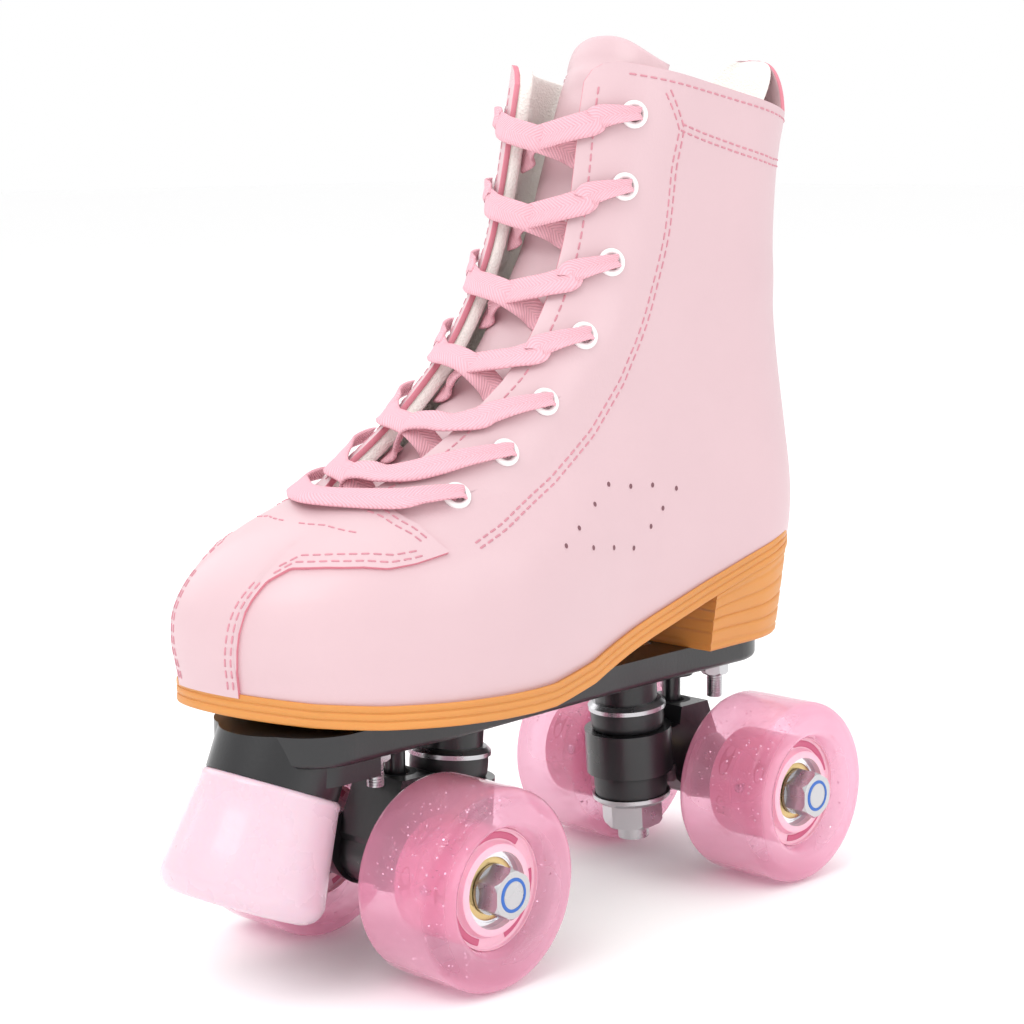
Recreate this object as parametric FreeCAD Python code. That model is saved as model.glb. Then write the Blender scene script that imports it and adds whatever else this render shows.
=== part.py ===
import FreeCAD, Part
import math
import os

V = FreeCAD.Vector

# Left quad roller skate, millimetres.  The toe points to -Y, the skate's own left side is +X, Z is up.
# The origin is on the ground, midway between the two axles.

# ---- rolling gear -------------------------------------------------------------------------------
wheelbase = 138.0
track = 72.0
wheel_diameter = 58.0
wheel_width = 32.0
wheel_edge_radius = 4.5
tyre_bore_radius = 17.0
tyre_lip_radius = 13.5
tyre_lip_width = 5.0
core_width = 22.0
core_slot_count = 6
core_slot_depth = 3.0

bearing_outer_radius = 11.0
bearing_inner_radius = 4.0
bearing_width = 7.0
bearing_recess = 6.0
ball_radius = 1.98
ball_pitch_radius = 7.5
ball_count = 7
ball_clearance = 0.07
spacer_wall = 1.2

axle_overhang = 2.6
axle_nut_flats = 13.0
axle_nut_height = 7.6
axle_shoulder_radius = 6.3
wheel_side_gap = 2.4

# ---- trucks -------------------------------------------------------------------------------------
kingpin_y = 39.0
kingpin_lean = 4.5
kingpin_radius = 5.0
kingpin_end_z = 11.0
kingpin_nut_flats = 17.0
kingpin_nut_height = 8.0
kingpin_head_flats = 16.0
kingpin_head_height = 5.0
cup_washer_thickness = 2.0
cup_washer_radius = 12.5
cushion_radius = 11.8
upper_cushion_height = 8.0
lower_cushion_height = 9.0
ring_radius = 14.0
ring_height = 14.0
ring_bore_clearance = 1.7
boss_radius = 10.0
hanger_barrel_radius = 8.5
hanger_web_half_width = 10.0
pivot_y = 62.0
pivot_z = 48.5
pivot_ball_radius = 3.25
pivot_cup_radius = 6.3
pivot_cup_clearance = 0.05
pivot_boss_radius = 7.0
pivot_boss_height = 5.0
pivot_root_cover = 2.0

# ---- plate and toe stop -------------------------------------------------------------------------
plate_top_z = 75.5
plate_thickness = 9.0
plate_front_y = -118.0
plate_rear_y = 91.0
plate_front_half_width = 25.0
plate_rear_half_width = 21.0
plate_corner_radius = 18.0
lower_tier_height = 6.5
lower_tier_inset = 5.0
lower_tier_rear_y = -86.0
bolt_radius = 2.5
bolt_head_radius = 5.0
bolt_head_height = 2.0
bolt_head_sink = 1.2
bolt_clearance = 0.2
bolt_half_spacing = 10.0
bolt_front_y = -79.0
bolt_rear_y = 72.0
bolt_end_z = 54.0
nut_flats = 8.0
nut_height = 5.0
nut_flange_radius = 5.5
nut_flange_height = 1.2
stop_tilt = 23.0
stop_top_y = -108.7
stop_top_z = 58.5
stop_height = 35.0
stop_top_radius = 19.5
stop_bottom_radius = 24.0
stop_edge_radius = 6.0
stop_screw_radius = 4.0
stop_head_radius = 6.5
stop_counterbore_radius = 9.0
stop_counterbore_depth = 12.0
stop_washer_thickness = 1.6

# ---- sole ---------------------------------------------------------------------------------------
sole_rim_height = 6.8
sole_margin = 1.0
sole_front_margin = 0.5
sole_back_inset = 0.5
heel_front_y = 46.0
heel_taper = 3.0
heel_chamfer = 3.0

# ---- boot ---------------------------------------------------------------------------------------
upper_thickness = 1.6
stiffener_thickness = 2.0
stiffener_gap = 0.55
lining_thickness = 2.0
layer_gap = 0.5
rim_seam = 0.3
lining_seam = 1.0
puff_seam = 3.5
overlay_thickness = 1.0
overlay_gap = 0.45
insole_board_thickness = 2.5
insole_thickness = 3.5
board_clearance = 2.8
insole_clearance = 3.2
tongue_thickness = 6.0
tongue_gap = 4.0
tongue_overlap = 15.0
tongue_lean = 12.0
eyelet_radius = 4.2
eyelet_hole_radius = 2.2
eyelet_half_spacing = 26.0
eyelet_rim = 1.0
eyelet_wall = 0.6
eyelet_seat = 0.35
eyelet_clearance = 0.15
lace_width = 8.0
lace_thickness = 1.2
lace_end_width = 4.0
lace_height = 1.8
bar_rise = 1.6
lace_clearance = 0.4
pull_tab_half_width = 15.0
pull_tab_rise = 18.0
pull_tab_tail = 20.0
pull_tab_thickness = 2.8
pull_tab_gap = 0.8
pull_tab_corner = 0.4
backstay_half_width = 12.0
backstay_top_z = 224.0
toe_puff_end_y = -82.0
toe_puff_last = 5.2
heel_counter_front_y = 56.0
heel_counter_top_z = 165.0
tongue_first = 6.4
tongue_last = 15.45

# Rings of the boot, from under the rim of the sole up to the collar and past it.  Each ring is a closed
# curve in a plane that leans between its front and its back point: front y, front z, back y, back z,
# half width at the ball, half width at the heel, front cap length, back cap length, share of foot bend.
RINGS = [
    (-122.0, 74.0, 100.8, 92.0, 41.2, 29.6, 62.0, 30.0, 1.00),
    (-122.5, 87.0, 101.8, 104.5, 42.0, 30.2, 62.0, 31.0, 1.00),
    (-124.0, 97.0, 103.0, 114.0, 42.6, 31.0, 62.0, 32.0, 1.00),
    (-122.8, 107.0, 103.6, 123.0, 41.8, 31.0, 60.0, 33.0, 1.00),
    (-117.0, 116.5, 103.0, 132.0, 39.0, 30.5, 58.0, 33.0, 0.95),
    (-107.0, 124.5, 101.5, 142.0, 34.0, 30.0, 56.0, 33.0, 0.85),
    (-92.5, 131.5, 100.0, 152.0, 29.5, 29.5, 52.0, 33.0, 0.70),
    (-78.0, 139.0, 98.5, 162.0, 28.0, 29.0, 48.0, 33.0, 0.50),
    (-61.5, 148.5, 97.3, 172.0, 27.5, 28.5, 44.0, 33.0, 0.35),
    (-45.5, 159.0, 96.4, 182.0, 28.0, 28.5, 40.0, 34.0, 0.20),
    (-30.5, 171.5, 96.0, 192.0, 28.5, 29.0, 37.0, 34.0, 0.10),
    (-19.0, 186.0, 95.8, 202.0, 29.0, 29.0, 35.0, 35.0, 0.0),
    (-10.0, 203.0, 96.0, 213.0, 29.5, 29.5, 33.0, 36.0, 0.0),
    (-4.5, 222.0, 97.0, 225.0, 30.0, 30.0, 32.0, 37.0, 0.0),
    (0.0, 243.0, 98.6, 232.5, 30.5, 30.5, 32.0, 38.0, 0.0),
    (3.6, 258.5, 100.3, 240.0, 31.0, 31.0, 32.0, 38.0, 0.0),
    (7.6, 276.0, 102.3, 260.0, 31.5, 31.5, 32.0, 38.0, 0.0),
]
FRONT_Y, FRONT_Z, BACK_Y, BACK_Z, HALF_BALL, HALF_HEEL, CAP_FRONT, CAP_BACK, BEND = range(9)
COLLAR = 15
BEYOND = 16
cap_power = 2.2
waist_start_y = -55.0
waist_end_y = 15.0
ring_points = 15
row_crowding = 1.4

# Bend of the foot's centre line: x of the centre against y, for a left foot.
FOOT_BEND = [(-124.0, -12.0), (-99.0, -5.0), (-74.0, -0.5), (-50.0, 2.3), (-20.0, 4.0), (10.0, 3.5),
             (40.0, 1.5), (95.0, 0.0)]

# Top edge of the sole's rim: z against y, seen from the side.
RIM_TOP = [(-140.0, 88.8), (-125.0, 87.0), (-110.0, 84.6), (-95.0, 83.4), (-80.0, 82.8), (-60.0, 82.2),
           (-40.0, 82.3), (-20.0, 85.0), (0.0, 89.5), (20.0, 94.2), (40.0, 99.0), (60.0, 103.8),
           (80.0, 108.5), (108.0, 114.5), (125.0, 117.0)]

# Half width of the gap between the lace facings against the ring number.
GAP = [(6.0, 0.0), (6.6, 6.0), (7.0, 10.0), (7.5, 12.5), (8.5, 14.0), (9.5, 15.7), (11.0, 15.8), (12.5, 15.2),
       (14.0, 14.2), (14.55, 14.2), (14.8, 16.0), (14.93, 18.5), (15.0, 22.0), (16.0, 22.0)]

# Edge of the T-shaped toe overlay: how far it reaches round a ring (turn) against the ring number.
OVERLAY = [(0.0, 0.19), (3.4, 0.22), (4.0, 0.26), (4.2, 0.45), (4.4, 0.88), (5.4, 0.70), (6.2, 0.48), (6.7, 0.20),
           (6.75, 0.17)]

# Rings on which the pairs of eyelets sit, from the toe up.
EYELET_RINGS = [6.3, 7.45, 8.75, 10.25, 11.65, 12.9, 14.0]


def interpolate(table, at):
    """Piecewise linear value of a list of (position, value) pairs."""
    if at <= table[0][0]:
        return table[0][1]
    for (a, va), (b, vb) in zip(table, table[1:]):
        if at <= b:
            return va + (vb - va) * (at - a) / (b - a)
    return table[-1][1]


def smooth(t):
    t = min(1.0, max(0.0, t))
    return t * t * (3.0 - 2.0 * t)


def cap(t):
    t = min(1.0, max(0.0, t))
    return (1.0 - (1.0 - t) ** cap_power) ** (1.0 / cap_power)


def ring_row(s):
    """The ring's values at any place between the listed rings (Catmull-Rom)."""
    i = min(len(RINGS) - 2, max(0, int(math.floor(s))))
    t = s - i
    p0 = RINGS[max(0, i - 1)]
    p1 = RINGS[i]
    p2 = RINGS[i + 1]
    p3 = RINGS[min(len(RINGS) - 1, i + 2)]
    row = []
    for a, b, c, d in zip(p0, p1, p2, p3):
        row.append(0.5 * (2 * b + (c - a) * t + (2 * a - 5 * b + 4 * c - d) * t * t
                          + (3 * b - a - 3 * c + d) * t ** 3))
    return row


def ring_half_width(row, y, inset):
    reach = smooth((y - waist_start_y) / (waist_end_y - waist_start_y))
    half = row[HALF_BALL] + (row[HALF_HEEL] - row[HALF_BALL]) * reach - inset
    front = cap((y - row[FRONT_Y] - inset) / (row[CAP_FRONT] - inset))
    back = cap((row[BACK_Y] - inset - y) / (row[CAP_BACK] - inset))
    return half * front * back


def ring_z(row, y):
    slope = (row[BACK_Z] - row[FRONT_Z]) / (row[BACK_Y] - row[FRONT_Y])
    return row[FRONT_Z] + slope * (y - row[FRONT_Y])


def ring_point(s, side, turn, inset=0.0, lean=0.0):
    """A point of ring s; turn runs from 0 at the front to pi at the back, side is +1 left, -1 right."""
    row = ring_row(s)
    row[FRONT_Y] += lean
    front = row[FRONT_Y] + inset
    back = row[BACK_Y] - inset
    y = front + (back - front) * (1.0 - math.cos(turn)) / 2.0
    x = side * ring_half_width(row, y, inset) + row[BEND] * interpolate(FOOT_BEND, y)
    return V(x, y, ring_z(row, y))


def surface_normal(s, side, turn, lean=0.0):
    """Outward unit normal of the boot's surface."""
    step = 0.02
    safe = min(math.pi - 0.03, max(0.03, turn))
    up = ring_point(s + step, side, safe, 0.0, lean) - ring_point(s - step, side, safe, 0.0, lean)
    along = ring_point(s, side, safe + step, 0.0, lean) - ring_point(s, side, safe - step, 0.0, lean)
    normal = along.cross(up) * side
    if turn < 0.03 or turn > math.pi - 0.03:
        normal.x = 0.0
    return normal.normalize()


def skin_point(s, side, turn, depth, lean=0.0):
    """A point a given depth under the boot's outer surface; a negative depth stands proud."""
    return ring_point(s, side, turn, 0.0, lean) - surface_normal(s, side, turn, lean) * depth


def surface_face(grid):
    surface = Part.BSplineSurface()
    surface.interpolate(grid)
    return surface


def thick_patch(place, outer_depth, inner_depth, rows=12, columns=15):
    """A closed sheet of the boot: place(u, v, depth) gives its points, u up and v across, both 0 to 1."""
    surfaces = []
    for depth in (outer_depth, inner_depth):
        grid = []
        for i in range(rows + 1):
            grid.append([place(i / rows, j / columns, depth) for j in range(columns + 1)])
        surfaces.append(surface_face(grid))
    outer, inner = surfaces
    faces = [outer.toShape(), inner.toShape()]
    u_first, u_last, v_first, v_last = outer.bounds()
    for value in (u_first, u_last):
        faces.append(Part.makeRuledSurface(outer.uIso(value).toShape(), inner.uIso(value).toShape()))
    for value in (v_first, v_last):
        faces.append(Part.makeRuledSurface(outer.vIso(value).toShape(), inner.vIso(value).toShape()))
    shell = Part.makeShell(faces)
    shell.sewShape()
    solid = Part.makeSolid(shell.Shells[0] if shell.Shells else shell)
    if solid.Volume < 0:
        solid.reverse()
    return solid


def rim_ring(side, turn, rise=0.0):
    """The ring number at which the boot's surface meets the sole's top edge."""
    low = 0.0
    high = 6.0
    for _ in range(30):
        middle = (low + high) / 2.0
        point = ring_point(middle, side, turn)
        if point.z < interpolate(RIM_TOP, point.y) + rise:
            low = middle
        else:
            high = middle
    return (low + high) / 2.0


def turn_at_half(s, half, from_back=False):
    """The turn at which ring s is half wide, near its front or near its back."""
    row = ring_row(s)
    low = 0.0
    high = math.pi / 2.0
    for _ in range(40):
        middle = (low + high) / 2.0
        turn = math.pi - middle if from_back else middle
        if ring_half_width(row, ring_point(s, 1, turn).y, 0.0) < half:
            low = middle
        else:
            high = middle
    found = (low + high) / 2.0
    return math.pi - found if from_back else found


def turn_at_y(s, y):
    """The turn at which ring s reaches a place along the boot."""
    row = ring_row(s)
    share = (y - row[FRONT_Y]) / (row[BACK_Y] - row[FRONT_Y])
    return math.acos(1.0 - 2.0 * min(1.0, max(0.0, share)))


def ring_at_back(z):
    """The ring number whose back point is at a height."""
    for k in range(len(RINGS) - 1):
        if RINGS[k + 1][BACK_Z] >= z:
            return k + (z - RINGS[k][BACK_Z]) / (RINGS[k + 1][BACK_Z] - RINGS[k][BACK_Z])
    return float(len(RINGS) - 1)


def side_profile_block(points_top, z_bottom, half_width=90.0):
    """Everything between z_bottom and a curve seen from the side."""
    curve = Part.BSplineCurve()
    curve.interpolate([V(-half_width, y, z) for y, z in points_top])
    first = points_top[0][0]
    last = points_top[-1][0]
    lines = [Part.makeLine(V(-half_width, last, points_top[-1][1]), V(-half_width, last, z_bottom)),
             Part.makeLine(V(-half_width, last, z_bottom), V(-half_width, first, z_bottom)),
             Part.makeLine(V(-half_width, first, z_bottom), V(-half_width, first, points_top[0][1]))]
    face = Part.Face(Part.Wire([curve.toShape()] + lines))
    return face.extrude(V(2.0 * half_width, 0, 0))


def below_rim(rise):
    """Everything below the sole's top edge, raised by a given height."""
    return side_profile_block([(y, z + rise) for y, z in RIM_TOP], -20.0)


def polygon_prism(points, vector):
    return Part.Face(Part.makePolygon(points + [points[0]])).extrude(vector)


def frustum_between(start, end, radius_start, radius_end):
    axis = end - start
    if abs(radius_start - radius_end) < 1e-6:
        return Part.makeCylinder(radius_start, axis.Length, start, axis)
    return Part.makeCone(radius_start, radius_end, axis.Length, start, axis)


def cylinder_between(start, end, radius):
    return frustum_between(start, end, radius, radius)


def hexagon(centre, axis, flats, height):
    """A hexagonal prism standing on centre along axis."""
    corner = flats / math.sqrt(3.0)
    direction = V(axis).normalize()
    side = direction.cross(V(1, 0, 0))
    if side.Length < 0.1:
        side = direction.cross(V(0, 1, 0))
    side.normalize()
    other = direction.cross(side)
    points = []
    for k in range(6):
        angle = math.radians(60.0 * k)
        points.append(centre + side * (corner * math.cos(angle)) + other * (corner * math.sin(angle)))
    prism = polygon_prism(points, direction * height)
    reach = corner * 1.02
    crown = Part.makeCone(reach + height * 0.6, reach - height * 0.12, height, centre, direction)
    return prism.common(crown)


def revolve_profile(points, axis_point, axis):
    """A solid of revolution from (along, radius) pairs about an axis."""
    direction = V(axis).normalize()
    side = direction.cross(V(0, 0, 1))
    if side.Length < 0.1:
        side = direction.cross(V(1, 0, 0))
    side.normalize()
    corners = [axis_point + direction * a + side * r for a, r in points]
    face = Part.Face(Part.makePolygon(corners + [corners[0]]))
    return face.revolve(axis_point, direction, 360.0)


parts = {}

# ---- sole with heel block -----------------------------------------------------------------------
plate_bottom_z = plate_top_z - plate_thickness


def outline_wire(z, inset):
    """The sole's plan outline at a height, pulled in by inset."""
    base = list(RINGS[1])
    base[FRONT_Y] -= sole_front_margin
    base[BACK_Y] -= sole_back_inset
    base[HALF_BALL] += sole_margin
    base[HALF_HEEL] += sole_margin
    points = []
    turns = [math.pi * k / ring_points for k in range(ring_points + 1)]
    for side, order in ((1, turns), (-1, turns[-2:0:-1])):
        for turn in order:
            front = base[FRONT_Y] + inset
            back = base[BACK_Y] - inset
            y = front + (back - front) * (1.0 - math.cos(turn)) / 2.0
            x = side * ring_half_width(base, y, inset) + interpolate(FOOT_BEND, y)
            points.append(V(x, y, z))
    curve = Part.BSplineCurve()
    curve.interpolate(points, PeriodicFlag=True)
    return Part.Wire([curve.toShape()])


def make_sole():
    top = below_rim(0.0)
    bottom = side_profile_block([(y, z - sole_rim_height) for y, z in RIM_TOP], -20.0)
    slab = Part.Face(outline_wire(0.0, 0.0)).extrude(V(0, 0, 150.0))
    rim = slab.common(top).cut(bottom)
    heel = Part.makeLoft([outline_wire(plate_top_z, heel_taper), outline_wire(115.0, 0.3)], True, False)
    heel = heel.common(top.cut(side_profile_block([(y, z - 1.0) for y, z in RIM_TOP], -40.0)).fuse(bottom))
    front = Part.makeBox(200.0, 200.0, 100.0, V(-100.0, heel_front_y - 200.0, 40.0))
    heel = heel.cut(front)
    base = Part.makeBox(200.0, 300.0, plate_top_z, V(-100.0, -150.0, 0.0))
    return rim.fuse(heel).cut(base).removeSplitter()


parts["sole"] = make_sole()

# ---- boot shell, stiffeners, lining -------------------------------------------------------------
stiffener_depth = upper_thickness + stiffener_thickness
lining_outer_depth = stiffener_depth + layer_gap
lining_depth = lining_outer_depth + lining_thickness


def half_boot(side, outer_depth, inner_depth, rise):
    """One side of a layer of the boot, from the toe's centre line round to the heel's."""
    def place(u, v, depth):
        low = rim_ring(side, math.pi * v, rise)
        s = low + (COLLAR - low) * u ** row_crowding
        gap = turn_at_half(s, interpolate(GAP, s))
        return skin_point(s, side, gap + (math.pi - gap) * v, depth)
    return thick_patch(place, outer_depth, inner_depth, 20, 18)


upper_left = half_boot(1, 0.0, upper_thickness, rim_seam)
upper_right = half_boot(-1, 0.0, upper_thickness, rim_seam)
lining_rise = insole_board_thickness + lining_seam
lining_halves = [half_boot(side, lining_outer_depth, lining_depth, lining_rise) for side in (1, -1)]


def make_toe_puff():
    def place(u, v, depth):
        side = 1 if v >= 0.5 else -1
        across = abs(2.0 * v - 1.0)
        low = rim_ring(side, turn_at_y(1.0, toe_puff_end_y) * across, insole_board_thickness + puff_seam)
        s = low + (toe_puff_last - low) * u ** row_crowding
        return skin_point(s, side, turn_at_y(s, toe_puff_end_y) * across, depth)
    return thick_patch(place, upper_thickness + stiffener_gap, stiffener_depth - stiffener_gap, 10, 24)


def make_heel_counter():
    top = ring_at_back(heel_counter_top_z)

    def place(u, v, depth):
        side = 1 if v >= 0.5 else -1
        across = abs(2.0 * v - 1.0)
        turn = math.pi - (math.pi - turn_at_y(1.0, heel_counter_front_y)) * across
        low = rim_ring(side, turn, insole_board_thickness + lining_seam)
        s = low + (top - low) * u
        turn = math.pi - (math.pi - turn_at_y(s, heel_counter_front_y)) * across
        return skin_point(s, side, turn, depth)
    return thick_patch(place, upper_thickness + stiffener_gap, stiffener_depth - stiffener_gap, 10, 20)


parts["toe_puff"] = make_toe_puff()
parts["heel_counter"] = make_heel_counter()


def make_toe_overlay():
    def place(u, v, depth):
        side = 1 if v >= 0.5 else -1
        across = abs(2.0 * v - 1.0)
        low = rim_ring(side, OVERLAY[0][1] * across)
        s = low + (OVERLAY[-1][0] - low) * u
        return skin_point(s, side, interpolate(OVERLAY, s) * across, depth)
    return thick_patch(place, -overlay_gap - overlay_thickness, -overlay_gap, 24, 18)


def back_strip(low, high, half, outer_depth, inner_depth, rows):
    """A strip on the heel's centre line between two rings; half gives its half width at a height."""
    def place(u, v, depth):
        side = 1 if v >= 0.5 else -1
        s = low + (high - low) * u
        turn = turn_at_half(s, half(ring_row(s)[BACK_Z]), True)
        turn = math.pi - (math.pi - turn) * abs(2.0 * v - 1.0)
        if low < 4.0 and u == 0.0:
            s = rim_ring(side, turn)
        return skin_point(s, side, turn, depth)
    return thick_patch(place, outer_depth, inner_depth, rows, 8)


def pull_tab_half(z):
    over = (z - (RINGS[COLLAR][BACK_Z] + pull_tab_rise - pull_tab_half_width)) / pull_tab_half_width
    return pull_tab_half_width * math.sqrt(max(pull_tab_corner, 1.0 - max(0.0, over) ** 2))


parts["toe_overlay"] = make_toe_overlay()
parts["backstay"] = back_strip(rim_ring(1, math.pi), ring_at_back(backstay_top_z),
                               lambda z: backstay_half_width, -overlay_gap - overlay_thickness, -overlay_gap, 10)
parts["pull_tab"] = back_strip(ring_at_back(RINGS[COLLAR][BACK_Z] - pull_tab_tail),
                               ring_at_back(RINGS[COLLAR][BACK_Z] + pull_tab_rise), pull_tab_half,
                               lining_depth + pull_tab_gap, lining_depth + pull_tab_thickness, 6)

# ---- insole board and insole --------------------------------------------------------------------


def footbed(inset, low_rise, high_rise):
    """A sheet inside the boot that follows the sole's top, between two heights above it."""
    slab = Part.Face(outline_wire(0.0, inset)).extrude(V(0, 0, 150.0))
    return slab.common(below_rim(high_rise)).cut(below_rim(low_rise))


board_top = insole_board_thickness
board = footbed(sole_margin + upper_thickness + board_clearance, 0.0, board_top)
insole = footbed(sole_margin + lining_depth + insole_clearance, board_top, board_top + insole_thickness)

# ---- tongue -------------------------------------------------------------------------------------
TONGUE_LEAN = [(0.0, 0.0), (11.0, 0.0), (14.0, tongue_lean * 0.7), (16.0, tongue_lean * 1.2)]
tongue_depth = lining_depth + tongue_gap


def make_tongue():
    def place(u, v, depth):
        side = 1 if v >= 0.5 else -1
        across = abs(2.0 * v - 1.0)
        s = tongue_first + (tongue_last - 0.35 * across * across - tongue_first) * u
        half = interpolate(GAP, s) + tongue_overlap
        turn = turn_at_half(s, min(half, ring_row(s)[HALF_BALL] * 0.93)) * across
        swell = 1.0 if depth > tongue_depth else 0.0
        thin = swell * tongue_thickness * 0.5 * across ** 4
        return skin_point(s, side, turn, depth - thin, interpolate(TONGUE_LEAN, s))
    return thick_patch(place, tongue_depth, tongue_depth + tongue_thickness, 14, 12)


parts["tongue"] = make_tongue()

# ---- eyelets ------------------------------------------------------------------------------------


def eyelet_frame(index, side):
    """Place of an eyelet on the surface and the outward normal there."""
    s = EYELET_RINGS[index]
    turn = turn_at_half(s, eyelet_half_spacing)
    return ring_point(s, side, turn), surface_normal(s, side, turn)


def make_eyelets(side):
    """Turned eyelets of one side: a barrel through the leather and the lining with a rolled rim outside."""
    barrel = eyelet_hole_radius + eyelet_wall
    rings = []
    for k in range(len(EYELET_RINGS)):
        place, normal = eyelet_frame(k, side)
        profile = [(-lining_depth, eyelet_hole_radius), (eyelet_rim, eyelet_hole_radius),
                   (eyelet_rim, eyelet_radius - eyelet_wall), (eyelet_rim * 0.6, eyelet_radius),
                   (eyelet_seat, eyelet_radius), (eyelet_seat, barrel), (-lining_depth, barrel)]
        rings.append(revolve_profile(profile, place, normal))
    return rings


def make_eyelet_holes(side):
    """The holes for one side's eyelets, right through the boot's wall."""
    reach = lining_depth + 4.0
    holes = []
    for k in range(len(EYELET_RINGS)):
        place, normal = eyelet_frame(k, side)
        radius = eyelet_hole_radius + eyelet_wall + eyelet_clearance
        holes.append(Part.makeCylinder(radius, 2.0 * reach, place - normal * reach, normal))
    return Part.makeCompound(holes)


left_holes = make_eyelet_holes(1)
right_holes = make_eyelet_holes(-1)
parts["upper_left"] = upper_left.cut(left_holes)
parts["upper_right"] = upper_right.cut(right_holes)
parts["lining"] = Part.makeCompound([lining_halves[0].cut(left_holes), lining_halves[1].cut(right_holes)])
parts["eyelets"] = Part.makeCompound(make_eyelets(1) + make_eyelets(-1))

# ---- lace ---------------------------------------------------------------------------------------


def ribbon(frames):
    """A flat ribbon through (place, normal, width) frames as one closed block."""
    wires = []
    for k, (place, normal, width) in enumerate(frames):
        ahead = frames[min(len(frames) - 1, k + 1)][0]
        behind = frames[max(0, k - 1)][0]
        half = (ahead - behind).cross(normal).normalize() * (width / 2.0)
        top = normal * lace_thickness
        corners = [place - half, place + half, place + half + top, place - half + top]
        wires.append(Part.makePolygon(corners + [corners[0]]))
    return Part.makeLoft(wires, True, True)


def over_gap(s, share, height):
    """A frame over the lace gap at ring s; share runs from -1 at the right facing to 1 at the left one."""
    edge = turn_at_half(s, interpolate(GAP, s))
    left = skin_point(s, 1, edge, -height)
    right = skin_point(s, -1, edge, -height)
    normal = (surface_normal(s, 1, edge) + surface_normal(s, -1, edge)).normalize()
    return (left + right) * 0.5 + (left - right) * (share / 2.0), normal, lace_width


def on_facing(s, side, beyond, height, width):
    """A frame over, or under, a lace facing, a given distance back from its edge."""
    turn = turn_at_half(s, interpolate(GAP, s) + beyond)
    normal = surface_normal(s, side, turn)
    return ring_point(s, side, turn) + normal * height, normal, width


def at_eyelet(index, side, height):
    place, normal = eyelet_frame(index, side)
    return place + normal * height, normal, lace_end_width


def lace_crossing(index, side):
    """One crossing: from inside an eyelet, out through the gap and over to the next eyelet opposite."""
    start = EYELET_RINGS[index]
    end = EYELET_RINGS[index + 1]
    under = -lining_depth - lace_clearance - lace_thickness
    on_top = (side > 0) == (index >= 2)
    middle = lace_height + (lace_thickness + lace_clearance if on_top else 0.0)
    step = end - start
    frames = [at_eyelet(index, side, under),
              on_facing(start + 0.42 * step, side, 2.0, under, lace_width),
              over_gap(start + 0.5 * step, side * 0.75, under),
              over_gap(start + 0.55 * step, side * 0.45, -2.0),
              over_gap(start + 0.6 * step, 0.0, middle),
              over_gap(start + 0.7 * step, -side * 0.75, lace_height),
              on_facing(start + 0.8 * step, -side, 2.5, lace_height, lace_width),
              on_facing(start + 0.93 * step, -side, eyelet_half_spacing - interpolate(GAP, end) - 6.0,
                        lace_height, lace_width),
              at_eyelet(index + 1, -side, lace_height)]
    return ribbon(frames)


def lace_bar():
    """The straight bar over the two lowest eyelets."""
    s = EYELET_RINGS[0]
    beside = eyelet_half_spacing - 7.0 - interpolate(GAP, s)
    high = lace_height + bar_rise
    return ribbon([at_eyelet(0, -1, lace_height), on_facing(s, -1, beside, high, lace_width),
                   over_gap(s, 0.0, high + bar_rise), on_facing(s, 1, beside, high, lace_width),
                   at_eyelet(0, 1, lace_height)])


def lace_plug(index, side):
    """The lace where it is squeezed through an eyelet."""
    low = at_eyelet(index, side, -lining_depth - lace_clearance)[0]
    high = at_eyelet(index, side, lace_height)[0]
    return cylinder_between(low, high, eyelet_hole_radius - lace_clearance)


def make_lace():
    pieces = [lace_bar()]
    for side in (1, -1):
        pieces += [lace_crossing(k, side) for k in range(len(EYELET_RINGS) - 1)]
        pieces += [lace_plug(k, side) for k in range(len(EYELET_RINGS))]
    return Part.makeCompound(pieces)


parts["lace"] = make_lace()

# ---- plate --------------------------------------------------------------------------------------
stop_axis = V(0, -math.sin(math.radians(stop_tilt)), -math.cos(math.radians(stop_tilt)))
stop_top = V(0, stop_top_y, stop_top_z)
stop_bottom = stop_top + stop_axis * stop_height


def kingpin_direction(end):
    """Down along a kingpin; its foot leans towards its own axle."""
    lean = math.radians(kingpin_lean)
    return V(0, end * math.sin(lean), -math.cos(lean))


def kingpin_at(end, z):
    """The point of a kingpin's centre line at a height."""
    down = kingpin_direction(end)
    top = V(0, end * kingpin_y, plate_bottom_z)
    return top + down * ((z - plate_bottom_z) / down.z)


def bolt_places():
    return [(x, y) for y in (bolt_front_y, bolt_rear_y) for x in (-bolt_half_spacing, bolt_half_spacing)]


upper_washer_z = 57.0


def lower_tier():
    """The step under the plate's nose, in front of the first pair of bolts."""
    half = plate_front_half_width - lower_tier_inset
    front_y = plate_front_y + lower_tier_inset
    low = plate_bottom_z - lower_tier_height
    block = Part.makeBox(2.0 * half, lower_tier_rear_y - front_y, lower_tier_height + 1.0, V(-half, front_y, low))
    nose = [e for e in block.Edges if e.BoundBox.ZLength > lower_tier_height and e.CenterOfMass.y < front_y + 0.1]
    return block.makeFillet(plate_corner_radius - lower_tier_inset, nose)


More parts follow.
